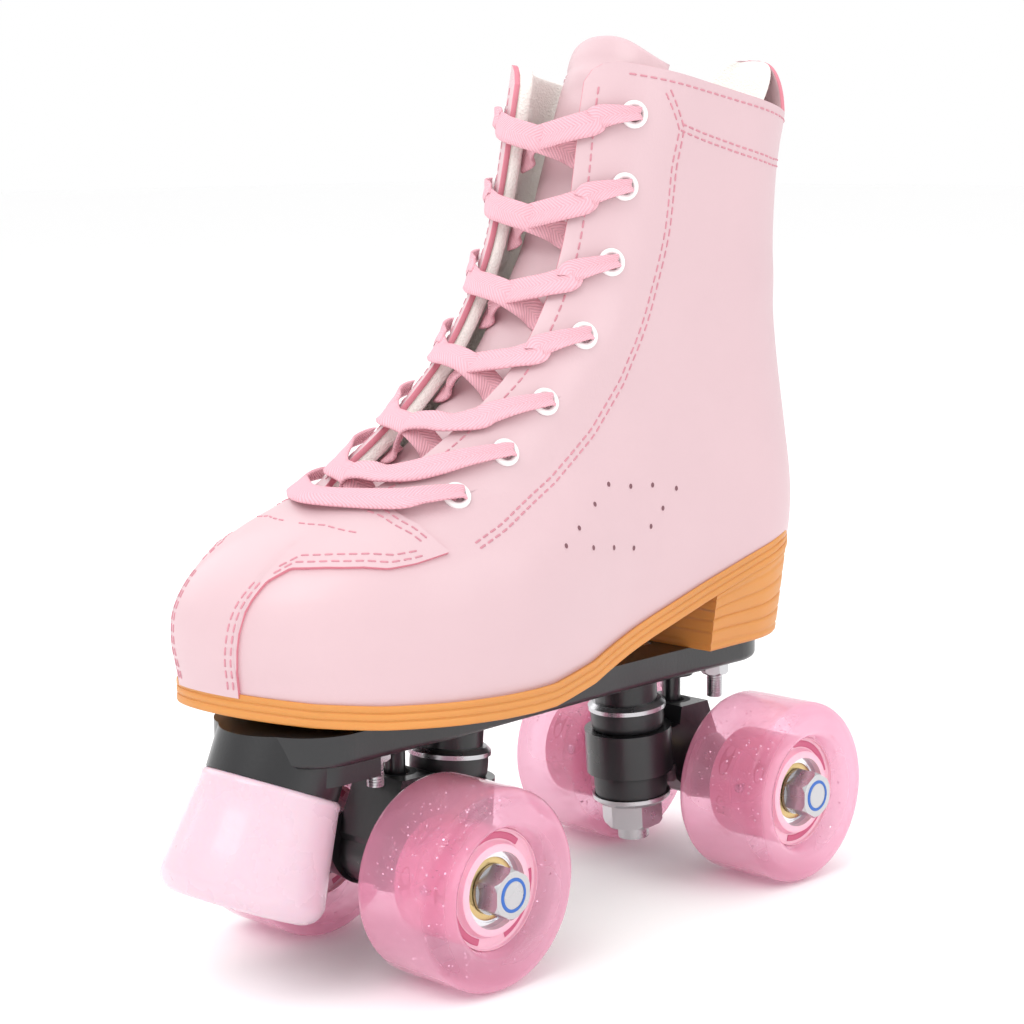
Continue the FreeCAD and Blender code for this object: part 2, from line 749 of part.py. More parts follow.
def make_plate():
    """The plate: a rounded slab with a boss for each kingpin and pivot pin and a socket for the toe stop."""
    front = plate_front_half_width
    rear = plate_rear_half_width
    side = [(front, plate_front_y), (front, -60.0), (rear + 1.0, 0.0), (rear, 40.0), (rear, plate_rear_y)]
    outline = [V(x, y, plate_bottom_z) for x, y in side] + [V(-x, y, plate_bottom_z) for x, y in side[::-1]]
    slab = polygon_prism(outline, V(0, 0, plate_thickness))
    corners = [e for e in slab.Edges if e.Length > plate_thickness - 0.1 and e.BoundBox.YLength < 0.01
               and e.BoundBox.XLength < 0.01 and abs(e.CenterOfMass.y) > plate_rear_y - 0.1]
    slab = slab.makeFillet(plate_corner_radius, corners)
    lower = [e for e in slab.Edges if e.BoundBox.ZMax < plate_bottom_z + 0.01]
    slab = slab.makeFillet(2.0, lower)
    bodies = [slab, lower_tier()]
    for end in (-1, 1):
        bodies.append(cylinder_between(kingpin_at(end, plate_top_z - 3.0), kingpin_at(end, upper_washer_z),
                                       boss_radius))
        pivot_foot = plate_bottom_z - pivot_boss_height
        bodies.append(Part.makeCylinder(pivot_boss_radius, pivot_boss_height + 2.0,
                                        V(0, end * pivot_y, pivot_foot)))
    socket = Part.makeCylinder(stop_top_radius - 0.5, 16.0, stop_top, V(0, 0, 0) - stop_axis)
    bodies.append(socket)
    plate = bodies[0].multiFuse(bodies[1:])
    plate = plate.cut(Part.makeBox(200.0, 400.0, 40.0, V(-100.0, -200.0, plate_top_z)))
    holes = []
    for end in (-1, 1):
        holes.append(cylinder_between(kingpin_at(end, plate_top_z + 5.0), kingpin_at(end, 50.0),
                                      kingpin_radius))
        holes.append(hexagon(kingpin_at(end, plate_top_z - kingpin_head_height),
                             V(0, 0, 0) - kingpin_direction(end), kingpin_head_flats, 12.0))
        holes.append(Part.makeCylinder(pivot_ball_radius, plate_top_z - pivot_root_cover - pivot_z,
                                       V(0, end * pivot_y, pivot_z)))
    for x, y in bolt_places():
        holes.append(Part.makeCylinder(bolt_radius + bolt_clearance, 60.0, V(x, y, 40.0)))
    holes.append(Part.makeCylinder(stop_screw_radius, 20.0, stop_top + stop_axis, V(0, 0, 0) - stop_axis))
    return plate.cut(Part.makeCompound(holes)).removeSplitter()


parts["plate"] = make_plate()


def bolt_head_top(y):
    """The bolts' heads lie sunk in the insole board."""
    return interpolate(RIM_TOP, y) + insole_board_thickness - bolt_head_sink


def make_plate_bolts():
    bolts = []
    for x, y in bolt_places():
        head_top = bolt_head_top(y)
        head = Part.makeCylinder(bolt_head_radius, bolt_head_height, V(x, y, head_top - bolt_head_height))
        shank = Part.makeCylinder(bolt_radius, head_top - bolt_end_z, V(x, y, bolt_end_z))
        bolts.append(head.fuse(shank).removeSplitter())
    return bolts


def make_plate_nuts():
    nuts = []
    for x, y in bolt_places():
        top = V(x, y, plate_bottom_z)
        flange = Part.makeCylinder(nut_flange_radius, nut_flange_height, top, V(0, 0, -1))
        body = hexagon(V(x, y, plate_bottom_z), V(0, 0, -1), nut_flats, nut_height)
        hole = Part.makeCylinder(bolt_radius, 40.0, V(x, y, 40.0))
        nuts.append(flange.fuse(body).cut(hole).removeSplitter())
    return nuts


parts["plate_bolts"] = Part.makeCompound(make_plate_bolts())
parts["plate_nuts"] = Part.makeCompound(make_plate_nuts())

bolt_holes = []
head_holes = []
for x, y in bolt_places():
    bolt_holes.append(Part.makeCylinder(bolt_radius + bolt_clearance, 90.0, V(x, y, 60.0)))
    head_low = bolt_head_top(y) - bolt_head_height
    head_holes.append(Part.makeCylinder(bolt_head_radius + bolt_clearance, 10.0, V(x, y, head_low)))
bolt_hole_group = Part.makeCompound(bolt_holes)
head_hole_group = Part.makeCompound(head_holes)
parts["sole"] = parts["sole"].cut(bolt_hole_group).cut(head_hole_group)
parts["insole_board"] = board.cut(bolt_hole_group).cut(head_hole_group)
parts["insole"] = insole

# ---- toe stop -----------------------------------------------------------------------------------


def make_toe_stop():
    cone = Part.makeCone(stop_top_radius, stop_bottom_radius, stop_height, stop_top, stop_axis)
    bottom_edge = [e for e in cone.Edges if e.isClosed() and
                   (e.CenterOfMass - stop_bottom).Length < 1.0]
    cone = cone.makeFillet(stop_edge_radius, bottom_edge)
    bore = Part.makeCylinder(stop_screw_radius + bolt_clearance, stop_height + 2.0,
                             stop_top - stop_axis, stop_axis)
    counterbore = Part.makeCylinder(stop_counterbore_radius, stop_counterbore_depth + 1.0,
                                    stop_bottom - stop_axis * stop_counterbore_depth, stop_axis)
    return cone.cut(bore).cut(counterbore)


parts["toe_stop"] = make_toe_stop()
stop_seat = stop_bottom - stop_axis * stop_counterbore_depth
stop_washer = cylinder_between(stop_seat, stop_seat + stop_axis * stop_washer_thickness,
                               stop_counterbore_radius - bolt_clearance)
parts["toe_stop_washer"] = stop_washer.cut(cylinder_between(stop_seat - stop_axis, stop_seat + stop_axis * 5.0,
                                                            stop_screw_radius + bolt_clearance))
stop_head_seat = stop_seat + stop_axis * stop_washer_thickness
screw_tip = stop_top - stop_axis * 12.0
stop_head = hexagon(stop_head_seat, stop_axis, stop_head_radius * 2.0, 5.0)
parts["toe_stop_screw"] = stop_head.fuse(cylinder_between(screw_tip, stop_head_seat,
                                                          stop_screw_radius)).removeSplitter()

# ---- trucks -------------------------------------------------------------------------------------
axle_z = wheel_diameter / 2.0
half_track = track / 2.0
wheel_outer_x = half_track + wheel_width / 2.0
bearing_outer_x = wheel_outer_x - bearing_recess
bearing_inner_x = 2.0 * half_track - bearing_outer_x
axle_end_x = wheel_outer_x + axle_overhang


def disc(end, z_top, height, radius, bore):
    """A round washer or cushion on a kingpin, hanging down from z_top."""
    top = kingpin_at(end, z_top)
    down = kingpin_direction(end)
    body = Part.makeCylinder(radius, height, top, down)
    return body.cut(Part.makeCylinder(bore, height + 2.0, top - down, down))


def cup_washer(end, z_face, toward_cushion):
    """A pressed cup washer: a flat disc with a turned rim that holds the cushion."""
    down = kingpin_direction(end)
    face = kingpin_at(end, z_face)
    sense = 1.0 if toward_cushion > 0 else -1.0
    axis = down * sense
    rim = 2.6
    profile = [(0.0, kingpin_radius), (0.0, cup_washer_radius - 1.4), (rim * 0.5, cup_washer_radius),
               (rim, cup_washer_radius), (rim, cup_washer_radius - 0.6),
               (cup_washer_thickness * 0.6, cup_washer_radius - 0.65),
               (cup_washer_thickness * 0.6, kingpin_radius)]
    return revolve_profile(profile, face, axis)


ring_top_z = upper_washer_z - cup_washer_thickness * 0.6 - upper_cushion_height
ring_bottom_z = ring_top_z - ring_height
lower_washer_z = ring_bottom_z - lower_cushion_height


def make_hanger(end):
    axle_y = end * wheelbase / 2.0
    axle = V(0, axle_y, axle_z)
    down = kingpin_direction(end)
    ring = cylinder_between(kingpin_at(end, ring_top_z), kingpin_at(end, ring_bottom_z), ring_radius)
    profile = [(47.0, ring_bottom_z + 0.5), (47.0, ring_top_z - 1.5), (54.5, 47.5), (55.5, 53.0),
               (68.5, 53.0), (71.0, 47.0), (76.0, 36.0), (75.0, 26.0), (69.0, 21.5), (60.0, 24.0)]
    half = hanger_web_half_width
    web = polygon_prism([V(-half, end * y, z) for y, z in profile], V(2.0 * half, 0, 0))
    barrel_end = half_track - wheel_width / 2.0 - wheel_side_gap
    barrel = cylinder_between(axle - V(barrel_end, 0, 0), axle + V(barrel_end, 0, 0), hanger_barrel_radius)
    pieces = [web, barrel]
    for side in (-1, 1):
        pieces.append(frustum_between(axle + V(side * half * 0.8, 0, 2.0), axle + V(side * barrel_end, 0, 0),
                                      hanger_barrel_radius + 3.0, hanger_barrel_radius))
        pieces.append(cylinder_between(axle + V(side * (barrel_end - 1.0), 0, 0),
                                       axle + V(side * bearing_inner_x, 0, 0), axle_shoulder_radius))
    body = ring.multiFuse(pieces)
    bore = cylinder_between(kingpin_at(end, 70.0), kingpin_at(end, 5.0), kingpin_radius + ring_bore_clearance)
    axle_bore = cylinder_between(V(-60.0, axle_y, axle_z), V(60.0, axle_y, axle_z), bearing_inner_radius)
    cup_bore = Part.makeCylinder(pivot_cup_radius, 20.0, V(0, end * pivot_y, pivot_z - 6.0))
    floor = Part.makeCylinder(cushion_radius + 3.0, 12.0, kingpin_at(end, ring_bottom_z), down)
    return body.cut(bore).cut(axle_bore).cut(cup_bore).cut(floor).removeSplitter()


def make_pivot_cup(end):
    centre = V(0, end * pivot_y, pivot_z)
    seat = pivot_ball_radius + pivot_cup_clearance
    outer = Part.makeCylinder(pivot_cup_radius, 10.5, centre - V(0, 0, 6.0))
    socket = Part.makeSphere(seat, centre)
    flare = Part.makeCone(seat, seat + 1.4, 6.0, centre)
    return outer.cut(socket.fuse(flare))


def make_pivot_pin(end):
    centre = V(0, end * pivot_y, pivot_z)
    ball = Part.makeSphere(pivot_ball_radius, centre)
    stem = Part.makeCylinder(pivot_ball_radius * 0.93, plate_bottom_z - pivot_boss_height - pivot_z, centre)
    foot_z = plate_bottom_z - pivot_boss_height
    root = Part.makeCylinder(pivot_ball_radius, plate_top_z - pivot_root_cover - foot_z, V(0, end * pivot_y, foot_z))
    return ball.fuse(stem).fuse(root).removeSplitter()


def make_truck(name, end):
    down = kingpin_direction(end)
    axle_y = end * wheelbase / 2.0
    parts[name + "_hanger"] = make_hanger(end)
    parts[name + "_axle"] = cylinder_between(V(-axle_end_x, axle_y, axle_z), V(axle_end_x, axle_y, axle_z),
                                             bearing_inner_radius)
    head = hexagon(kingpin_at(end, plate_top_z - kingpin_head_height), V(0, 0, 0) - down,
                   kingpin_head_flats, kingpin_head_height - 0.8)
    shank = cylinder_between(kingpin_at(end, plate_top_z - kingpin_head_height),
                             kingpin_at(end, kingpin_end_z), kingpin_radius)
    parts[name + "_kingpin"] = head.fuse(shank).removeSplitter()
    nut_top = kingpin_at(end, lower_washer_z - cup_washer_thickness * 0.6)
    nut = hexagon(nut_top, down, kingpin_nut_flats, kingpin_nut_height)
    nut_bore = Part.makeCylinder(kingpin_radius, 30.0, nut_top - down, down)
    parts[name + "_kingpin_nut"] = nut.cut(nut_bore)
    upper_face = upper_washer_z
    cushion_top = upper_washer_z - cup_washer_thickness * 0.6
    parts[name + "_upper_cushion"] = disc(end, cushion_top, cushion_top - ring_top_z,
                                          cup_washer_radius - 0.7, kingpin_radius + 0.1)
    parts[name + "_lower_cushion"] = disc(end, ring_bottom_z, lower_cushion_height,
                                          cup_washer_radius - 0.7, kingpin_radius + 0.1)
    lower_face = lower_washer_z - cup_washer_thickness * 0.6
    parts[name + "_cup_washers"] = Part.makeCompound([cup_washer(end, upper_face, 1),
                                                      cup_washer(end, lower_face, -1)])
    parts[name + "_pivot_pin"] = make_pivot_pin(end)
    parts[name + "_pivot_cup"] = make_pivot_cup(end)
    nuts = []
    for side in (-1, 1):
        face = V(side * bearing_outer_x, axle_y, axle_z)
        out = V(side, 0, 0)
        washer = Part.makeCylinder(7.2, 0.9, face, out)
        washer = washer.fuse(hexagon(face + out * 0.9, out, axle_nut_flats, axle_nut_height))
        nuts.append(washer.cut(Part.makeCylinder(bearing_inner_radius, 30.0, face - out, out)))
    parts[name + "_axle_nuts"] = Part.makeCompound(nuts)


make_truck("front", -1)
make_truck("rear", 1)

# ---- wheels -------------------------------------------------------------------------------------


def make_tyre(centre, out):
    """The urethane tyre: a ring over the core with rounded shoulders and a turned-in lip on each face."""
    half = wheel_width / 2.0
    radius = wheel_diameter / 2.0
    edge = wheel_edge_radius
    core_half = core_width / 2.0
    profile = [(-half + 1.2, tyre_bore_radius + 3.0), (-half, tyre_bore_radius + 5.0), (-half, radius - edge)]
    for k in range(1, 6):
        angle = math.radians(90.0 * k / 6.0)
        profile.append((-half + edge - edge * math.cos(angle), radius - edge + edge * math.sin(angle)))
    profile.append((-half + edge, radius))
    mirrored = [(-a, r) for a, r in profile[::-1]]
    inner = [(half - 2.4, tyre_lip_radius), (core_half, tyre_lip_radius), (core_half, tyre_bore_radius),
             (-core_half, tyre_bore_radius), (-core_half, tyre_lip_radius), (-half + 2.4, tyre_lip_radius)]
    return revolve_profile(profile + mirrored + inner, centre, out)


def make_core(centre, out):
    """The core: bearing seats, a web between them, and a ring of pockets open at the tyre."""
    half = core_width / 2.0
    seat = bearing_outer_x - half_track
    shoulder = seat - bearing_width
    body = Part.makeCylinder(tyre_bore_radius, core_width, centre - out * half, out)
    collar_half = seat
    body = body.fuse(Part.makeCylinder(tyre_lip_radius, 2.0 * collar_half, centre - out * collar_half, out))
    body = body.cut(Part.makeCylinder(bearing_outer_radius - 2.0, 80.0, centre - out * 40.0, out))
    for sense in (-1, 1):
        direction = out * sense
        body = body.cut(Part.makeCylinder(bearing_outer_radius, 40.0, centre + direction * shoulder,
                                          direction))
    for k in range(core_slot_count):
        angle = 360.0 * k / core_slot_count
        slot = Part.makeBox(core_slot_depth + 2.0, 8.0, core_width * 0.55,
                            V(tyre_bore_radius - core_slot_depth, -4.0, -core_width * 0.275))
        slot.rotate(V(0, 0, 0), V(0, 0, 1), angle)
        slot.rotate(V(0, 0, 0), V(0, 1, 0), 90.0)
        slot.translate(centre)
        body = body.cut(slot)
    return body.removeSplitter()


def bearing_faces(side):
    """The outboard faces of a wheel's two bearings and the direction in which each one lies."""
    return [(side * bearing_outer_x, -side), (side * bearing_inner_x, side)]


def make_wheel(name, side, end):
    axle_y = end * wheelbase / 2.0
    centre = V(side * half_track, axle_y, axle_z)
    out = V(side, 0, 0)
    parts[name + "_tyre"] = make_tyre(centre, out)
    parts[name + "_core"] = make_core(centre, out)
    ring_out = ball_pitch_radius + ball_radius + ball_clearance
    ring_in = ball_pitch_radius - ball_radius - ball_clearance
    outers = []
    inners = []
    balls = []
    for face_x, sense in bearing_faces(side):
        face = V(face_x, axle_y, axle_z)
        inward = V(sense, 0, 0)
        outer = Part.makeCylinder(bearing_outer_radius, bearing_width, face, inward)
        outer = outer.cut(Part.makeCylinder(ring_out, bearing_width, face, inward))
        shield = Part.makeCylinder(ring_out, 0.5, face + inward * 0.4, inward)
        shield = shield.cut(Part.makeCylinder(ring_in + 0.3, 2.0, face, inward))
        outers.append(outer.fuse(shield))
        inner = Part.makeCylinder(ring_in, bearing_width, face, inward)
        inners.append(inner.cut(Part.makeCylinder(bearing_inner_radius, bearing_width, face, inward)))
        for k in range(ball_count):
            angle = 2.0 * math.pi * k / ball_count
            offset = V(0, math.cos(angle), math.sin(angle)) * ball_pitch_radius
            balls.append(Part.makeSphere(ball_radius, face + inward * (bearing_width / 2.0) + offset))
    spacer_start = V(side * (bearing_inner_x + bearing_width), axle_y, axle_z)
    spacer_length = bearing_outer_x - bearing_inner_x - 2.0 * bearing_width
    spacer = Part.makeCylinder(bearing_inner_radius + spacer_wall, spacer_length, spacer_start, out)
    inners.append(spacer.cut(Part.makeCylinder(bearing_inner_radius, spacer_length, spacer_start, out)))
    parts[name + "_bearing_outers"] = Part.makeCompound(outers)
    parts[name + "_bearing_inners"] = Part.makeCompound(inners)
    parts[name + "_balls"] = Part.makeCompound(balls)


make_wheel("front_left", 1, -1)
make_wheel("front_right", -1, -1)
make_wheel("rear_left", 1, 1)
make_wheel("rear_right", -1, 1)

# ---- files --------------------------------------------------------------------------------------
os.makedirs("parts", exist_ok=True)
for name in sorted(parts):
    shape = parts[name]
    shape.exportStep("parts/" + name + ".step")
    box = shape.BoundBox
    print("%-28s solids %2d  valid %s  volume %9.1f  x %7.1f %7.1f  y %7.1f %7.1f  z %6.1f %6.1f" % (
        name, len(shape.Solids), shape.isValid(), shape.Volume,
        box.XMin, box.XMax, box.YMin, box.YMax, box.ZMin, box.ZMax))
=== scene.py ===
import bmesh
import bpy
import math
import random
import numpy as np
from mathutils import Matrix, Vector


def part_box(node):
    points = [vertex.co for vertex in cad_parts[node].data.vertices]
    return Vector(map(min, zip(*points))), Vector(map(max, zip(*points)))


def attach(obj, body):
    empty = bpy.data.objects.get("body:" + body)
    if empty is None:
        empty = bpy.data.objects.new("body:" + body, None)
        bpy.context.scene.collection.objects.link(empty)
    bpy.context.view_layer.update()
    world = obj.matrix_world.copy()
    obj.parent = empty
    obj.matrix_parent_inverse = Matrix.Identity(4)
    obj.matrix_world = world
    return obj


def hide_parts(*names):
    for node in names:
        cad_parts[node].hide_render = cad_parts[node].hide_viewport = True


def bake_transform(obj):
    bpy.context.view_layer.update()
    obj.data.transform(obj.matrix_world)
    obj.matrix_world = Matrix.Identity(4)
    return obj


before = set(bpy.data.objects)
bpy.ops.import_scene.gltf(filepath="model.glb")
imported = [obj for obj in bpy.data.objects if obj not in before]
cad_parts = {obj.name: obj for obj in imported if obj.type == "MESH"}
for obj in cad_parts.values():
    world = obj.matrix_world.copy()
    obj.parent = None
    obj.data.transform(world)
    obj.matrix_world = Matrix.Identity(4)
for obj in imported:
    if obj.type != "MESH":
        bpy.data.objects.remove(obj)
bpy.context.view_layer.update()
MM = 0.001

# ---- the boot's last, the same tables as the CAD source (mm) ----
# front y, front z, back y, back z, half ball, half heel, front cap, back cap, share of the bend
RINGS = [(-122.0, 74.0, 100.8, 92.0, 41.2, 29.6, 62.0, 30.0, 1.00),
         (-122.5, 87.0, 101.8, 104.5, 42.0, 30.2, 62.0, 31.0, 1.00),
         (-124.0, 97.0, 103.0, 114.0, 42.6, 31.0, 62.0, 32.0, 1.00),
         (-122.8, 107.0, 103.6, 123.0, 41.8, 31.0, 60.0, 33.0, 1.00),
         (-117.0, 116.5, 103.0, 132.0, 39.0, 30.5, 58.0, 33.0, 0.95),
         (-107.0, 124.5, 101.5, 142.0, 34.0, 30.0, 56.0, 33.0, 0.85),
         (-92.5, 131.5, 100.0, 152.0, 29.5, 29.5, 52.0, 33.0, 0.70),
         (-78.0, 139.0, 98.5, 162.0, 28.0, 29.0, 48.0, 33.0, 0.50),
         (-61.5, 148.5, 97.3, 172.0, 27.5, 28.5, 44.0, 33.0, 0.35),
         (-45.5, 159.0, 96.4, 182.0, 28.0, 28.5, 40.0, 34.0, 0.20),
         (-30.5, 171.5, 96.0, 192.0, 28.5, 29.0, 37.0, 34.0, 0.10),
         (-19.0, 186.0, 95.8, 202.0, 29.0, 29.0, 35.0, 35.0, 0.0),
         (-10.0, 203.0, 96.0, 213.0, 29.5, 29.5, 33.0, 36.0, 0.0),
         (-4.5, 222.0, 97.0, 225.0, 30.0, 30.0, 32.0, 37.0, 0.0),
         (0.0, 243.0, 98.6, 232.5, 30.5, 30.5, 32.0, 38.0, 0.0),
         (3.6, 258.5, 100.3, 240.0, 31.0, 31.0, 32.0, 38.0, 0.0),
         (7.6, 276.0, 102.3, 260.0, 31.5, 31.5, 32.0, 38.0, 0.0)]
FOOT_BEND = [(-124, -12), (-99, -5), (-74, -0.5), (-50, 2.3), (-20, 4), (10, 3.5), (40, 1.5), (95, 0)]
RIM_TOP = [(-140, 88.8), (-125, 87.0), (-110, 84.6), (-95, 83.4), (-80, 82.8), (-60, 82.2), (-40, 82.3),
           (-20, 85.0), (0, 89.5), (20, 94.2), (40, 99.0), (60, 103.8), (80, 108.5), (108, 114.5),
           (125, 117.0)]
GAP = [(6.0, 0), (6.6, 6), (7.0, 10), (7.5, 12.5), (8.5, 14), (9.5, 15.7), (11, 15.8), (12.5, 15.2),
       (14, 14.2), (14.55, 14.2), (14.8, 16), (14.93, 18.5), (15, 22), (16, 22)]
EYELET_RINGS = [6.3, 7.45, 8.75, 10.25, 11.65, 12.9, 14.0]
EYELET_HALF = 26.0
EYELET_BORE = 2.9
OVERLAY_PROUD = 1.1
BACKSTAY_PROUD = 1.3
BACKSTAY_HALF = 12.0
TONGUE_LEAN = [(0, 0), (11, 0), (14, 8.4), (16, 14.4)]
COLLAR = 15.0
cap_power = 2.2
waist_start_y = -55.0
waist_end_y = 15.0
skin = 1.8
lining_depth = 6.1
PLATE_TOP = 75.5


def interp(table, x):
    a = np.array(table, float)
    return np.interp(x, a[:, 0], a[:, 1])


def smooth(t):
    t = np.clip(t, 0, 1)
    return t * t * (3 - 2 * t)


def cap(t):
    t = np.clip(t, 0, 1)
    return (1 - (1 - t) ** cap_power) ** (1 / cap_power)


def row_at(s):
    """The row of the ring table at any place between rings, by a smooth curve through them."""
    s = np.asarray(s, float)
    rows = np.array(RINGS)
    i = np.clip(np.floor(s).astype(int), 0, len(rows) - 2)
    t = (s - i)[..., None]
    p0, p1 = rows[np.maximum(0, i - 1)], rows[i]
    p2, p3 = rows[i + 1], rows[np.minimum(len(rows) - 1, i + 2)]
    r = 0.5 * (2 * p1 + (p2 - p0) * t + (2 * p0 - 5 * p1 + 4 * p2 - p3) * t * t
               + (3 * p1 - p0 - 3 * p2 + p3) * t ** 3)
    return np.moveaxis(r, -1, 0)


def half_width(r, y):
    reach = smooth((y - waist_start_y) / (waist_end_y - waist_start_y))
    h = r[4] + (r[5] - r[4]) * reach
    return h * cap((y - r[0]) / r[6]) * cap((r[2] - y) / r[7])


def point(s, side, turn, lean=0.0):
    """A point of the boot: ring s, side 1 left or -1 right, turn 0 at the front to pi at the back."""
    s, side, turn, lean = np.broadcast_arrays(*[np.asarray(a, float) for a in (s, side, turn, lean)])
    r = row_at(s).copy()
    r[0] = r[0] + lean
    y = r[0] + (r[2] - r[0]) * (1 - np.cos(turn)) / 2
    x = side * half_width(r, y) + r[8] * interp(FOOT_BEND, y)
    z = r[1] + (r[3] - r[1]) / (r[2] - r[0]) * (y - r[0])
    return np.stack([x, y, z], -1)


def unit(v):
    return v / np.maximum(1e-9, np.linalg.norm(v, axis=-1, keepdims=True))


def normal(s, side, turn, lean=0.0):
    s, side, turn = np.broadcast_arrays(*[np.asarray(a, float) for a in (s, side, turn)])
    safe = np.clip(turn, 0.05, math.pi - 0.05)
    along = point(s, side, safe + 0.02, lean) - point(s, side, safe - 0.02, lean)
    low, high = np.clip(s - 0.04, 0, 16), np.clip(s + 0.04, 0, 16)
    up = point(high, side, safe, lean) - point(low, side, safe, lean)
    n = unit(np.cross(along, up) * side[..., None])
    ends = smooth(np.minimum(turn, math.pi - turn) / 0.05)
    n = n * np.stack([ends, np.ones_like(ends), np.ones_like(ends)], -1)
    return unit(n)


def skin_at(s, side, turn, depth, lean=0.0):
    """A point a given depth under the boot's surface; a negative depth stands proud."""
    depth = np.asarray(depth, float)[..., None]
    return point(s, side, turn, lean) - normal(s, side, turn, lean) * depth


def turn_at_half(s, half, back=False):
    """The turn at which a ring is a given half width, in front or at the back."""
    s, half = np.broadcast_arrays(np.asarray(s, float), np.asarray(half, float))
    r = row_at(s)
    lo, hi = np.zeros(s.shape), np.full(s.shape, math.pi / 2)
    for _ in range(34):
        m = (lo + hi) / 2
        t = math.pi - m if back else m
        y = r[0] + (r[2] - r[0]) * (1 - np.cos(t)) / 2
        c = half_width(r, y) < half
        lo, hi = np.where(c, m, lo), np.where(c, hi, m)
    found = (lo + hi) / 2
    return math.pi - found if back else found


def rim_s(side, turn, rise=0.0):
    """The ring at which the boot meets the sole's rim, or a rise above it."""
    turn = np.asarray(turn, float)
    lo, hi = np.zeros(turn.shape), np.full(turn.shape, 6.0)
    for _ in range(30):
        m = (lo + hi) / 2
        p = point(m, side, turn)
        c = p[..., 2] < interp(RIM_TOP, p[..., 1]) + rise
        lo, hi = np.where(c, m, lo), np.where(c, hi, m)
    return (lo + hi) / 2


# ---- mesh helpers ----
def mesh_object(name, verts, faces, materials, face_materials=None, smooth_shade=True, uv=None,
                body="boot_and_plate", slot=None, merge=0.0, sharp=None):
    """A mesh from points in mm, riding on a body and wearing the materials it is given; slot is not
    used.
    """
    me = bpy.data.meshes.new(name)
    me.from_pydata([tuple(v) for v in (np.asarray(verts, float) * MM)], [], [tuple(f) for f in faces])
    for m in materials:
        me.materials.append(m)
    if face_materials is not None:
        me.polygons.foreach_set("material_index", np.asarray(face_materials, np.int32))
    me.polygons.foreach_set("use_smooth", np.full(len(me.polygons), smooth_shade))
    if uv is not None:
        layer = me.uv_layers.new(name="flow")
        loops = np.zeros(len(me.loops), np.int32)
        me.loops.foreach_get("vertex_index", loops)
        layer.data.foreach_set("uv", np.asarray(uv, np.float32)[loops].ravel())
    me.update()
    o = bpy.data.objects.new(name, me)
    bpy.context.scene.collection.objects.link(o)
    if merge:
        bm = bmesh.new()
        bm.from_mesh(me)
        bmesh.ops.remove_doubles(bm, verts=bm.verts, dist=merge * MM)
        bmesh.ops.dissolve_degenerate(bm, dist=1e-7, edges=bm.edges)
        bmesh.ops.recalc_face_normals(bm, faces=bm.faces)
        bm.to_mesh(me)
        bm.free()
    if sharp:
        me.set_sharp_from_angle(angle=math.radians(sharp))
    if body:
        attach(o, body)
    return o


def sheet_mesh(outer, inner, bulge=0.3, steps=4, seam=None):
    """Two layers of points [rows, columns] joined round their edge by a rounded strip.
    Rows marked as seam, where the left and right edges meet, have no strip there."""
    m, n = outer.shape[:2]
    verts = [outer.reshape(-1, 3), inner.reshape(-1, 3)]
    faces, marks = [], []

    def grid_id(layer, i, j):
        return layer * m * n + i * n + j

    for i in range(m - 1):
        for j in range(n - 1):
            cell = ((i, j), (i, j + 1), (i + 1, j + 1), (i + 1, j))
            faces.append(tuple(grid_id(0, a, b) for a, b in cell))
            faces.append(tuple(grid_id(1, *cell[k]) for k in (0, 3, 2, 1)))
            marks += [0, 1]
    loop = [(0, j) for j in range(n)]
    loop += [(i, n - 1) for i in range(1, m)]
    loop += [(m - 1, j) for j in range(n - 2, -1, -1)]
    loop += [(i, 0) for i in range(m - 2, 0, -1)]
    mid = (outer + inner) / 2
    base = 2 * m * n
    strip = []
    for i, j in loop:
        away = np.zeros(3)
        if i == 0:
            away += unit(mid[0, j] - mid[1, j])
        if i == m - 1:
            away += unit(mid[m - 1, j] - mid[m - 2, j])
        if j == 0:
            away += unit(mid[i, 0] - mid[i, 1])
        if j == n - 1:
            away += unit(mid[i, n - 1] - mid[i, n - 2])
        half = (outer[i, j] - inner[i, j]) / 2
        for k in range(1, steps):
            a = math.pi * k / steps
            strip.append(mid[i, j] + half * math.cos(a) + away * bulge * math.sin(a))
    verts.append(np.array(strip))
    count = len(loop)

    def strip_id(place, k):
        i, j = loop[place % count]
        if k == 0:
            return grid_id(0, i, j)
        if k == steps:
            return grid_id(1, i, j)
        return base + (place % count) * (steps - 1) + k - 1

    for p in range(count):
        (i0, j0), (i1, j1) = loop[p], loop[(p + 1) % count]
        if seam is not None and j0 == j1 and j0 in (0, n - 1) and seam[i0] and seam[i1]:
            continue
        for k in range(steps):
            faces.append((strip_id(p, k + 1), strip_id(p, k), strip_id(p + 1, k),
                          strip_id(p + 1, k + 1)))
            marks.append(2)
    return np.concatenate(verts), faces, marks


def revolve(profile, segments=64, closed=False):
    """Points (along, radius) turned about +X; returns vertices and faces."""
    verts, faces = [], []
    n = len(profile)
    for k in range(segments):
        a = 2 * math.pi * k / segments
        verts += [(x, r * math.cos(a), r * math.sin(a)) for x, r in profile]
    for k in range(segments):
        b = (k + 1) % segments
        for i in range(n if closed else n - 1):
            j = (i + 1) % n
            faces.append((k * n + i, k * n + j, b * n + j, b * n + i))
    return np.array(verts), faces


def join(parts):
    verts, faces, offset = [], [], 0
    for v, f in parts:
        verts.append(np.asarray(v, float))
        faces += [tuple(i + offset for i in face) for face in f]
        offset += len(v)
    return np.concatenate(verts), faces


def frame_from(direction, up=(0, 0, 1)):
    x = unit(np.asarray(direction, float))
    y = np.cross(np.asarray(up, float), x)
    if np.linalg.norm(y) < 1e-3:
        y = np.cross((0, 1, 0), x)
    y = unit(y)
    return np.stack([x, y, np.cross(x, y)])


def placed(verts, origin, direction, up=(0, 0, 1)):
    return np.asarray(verts) @ frame_from(direction, up) + np.asarray(origin, float)


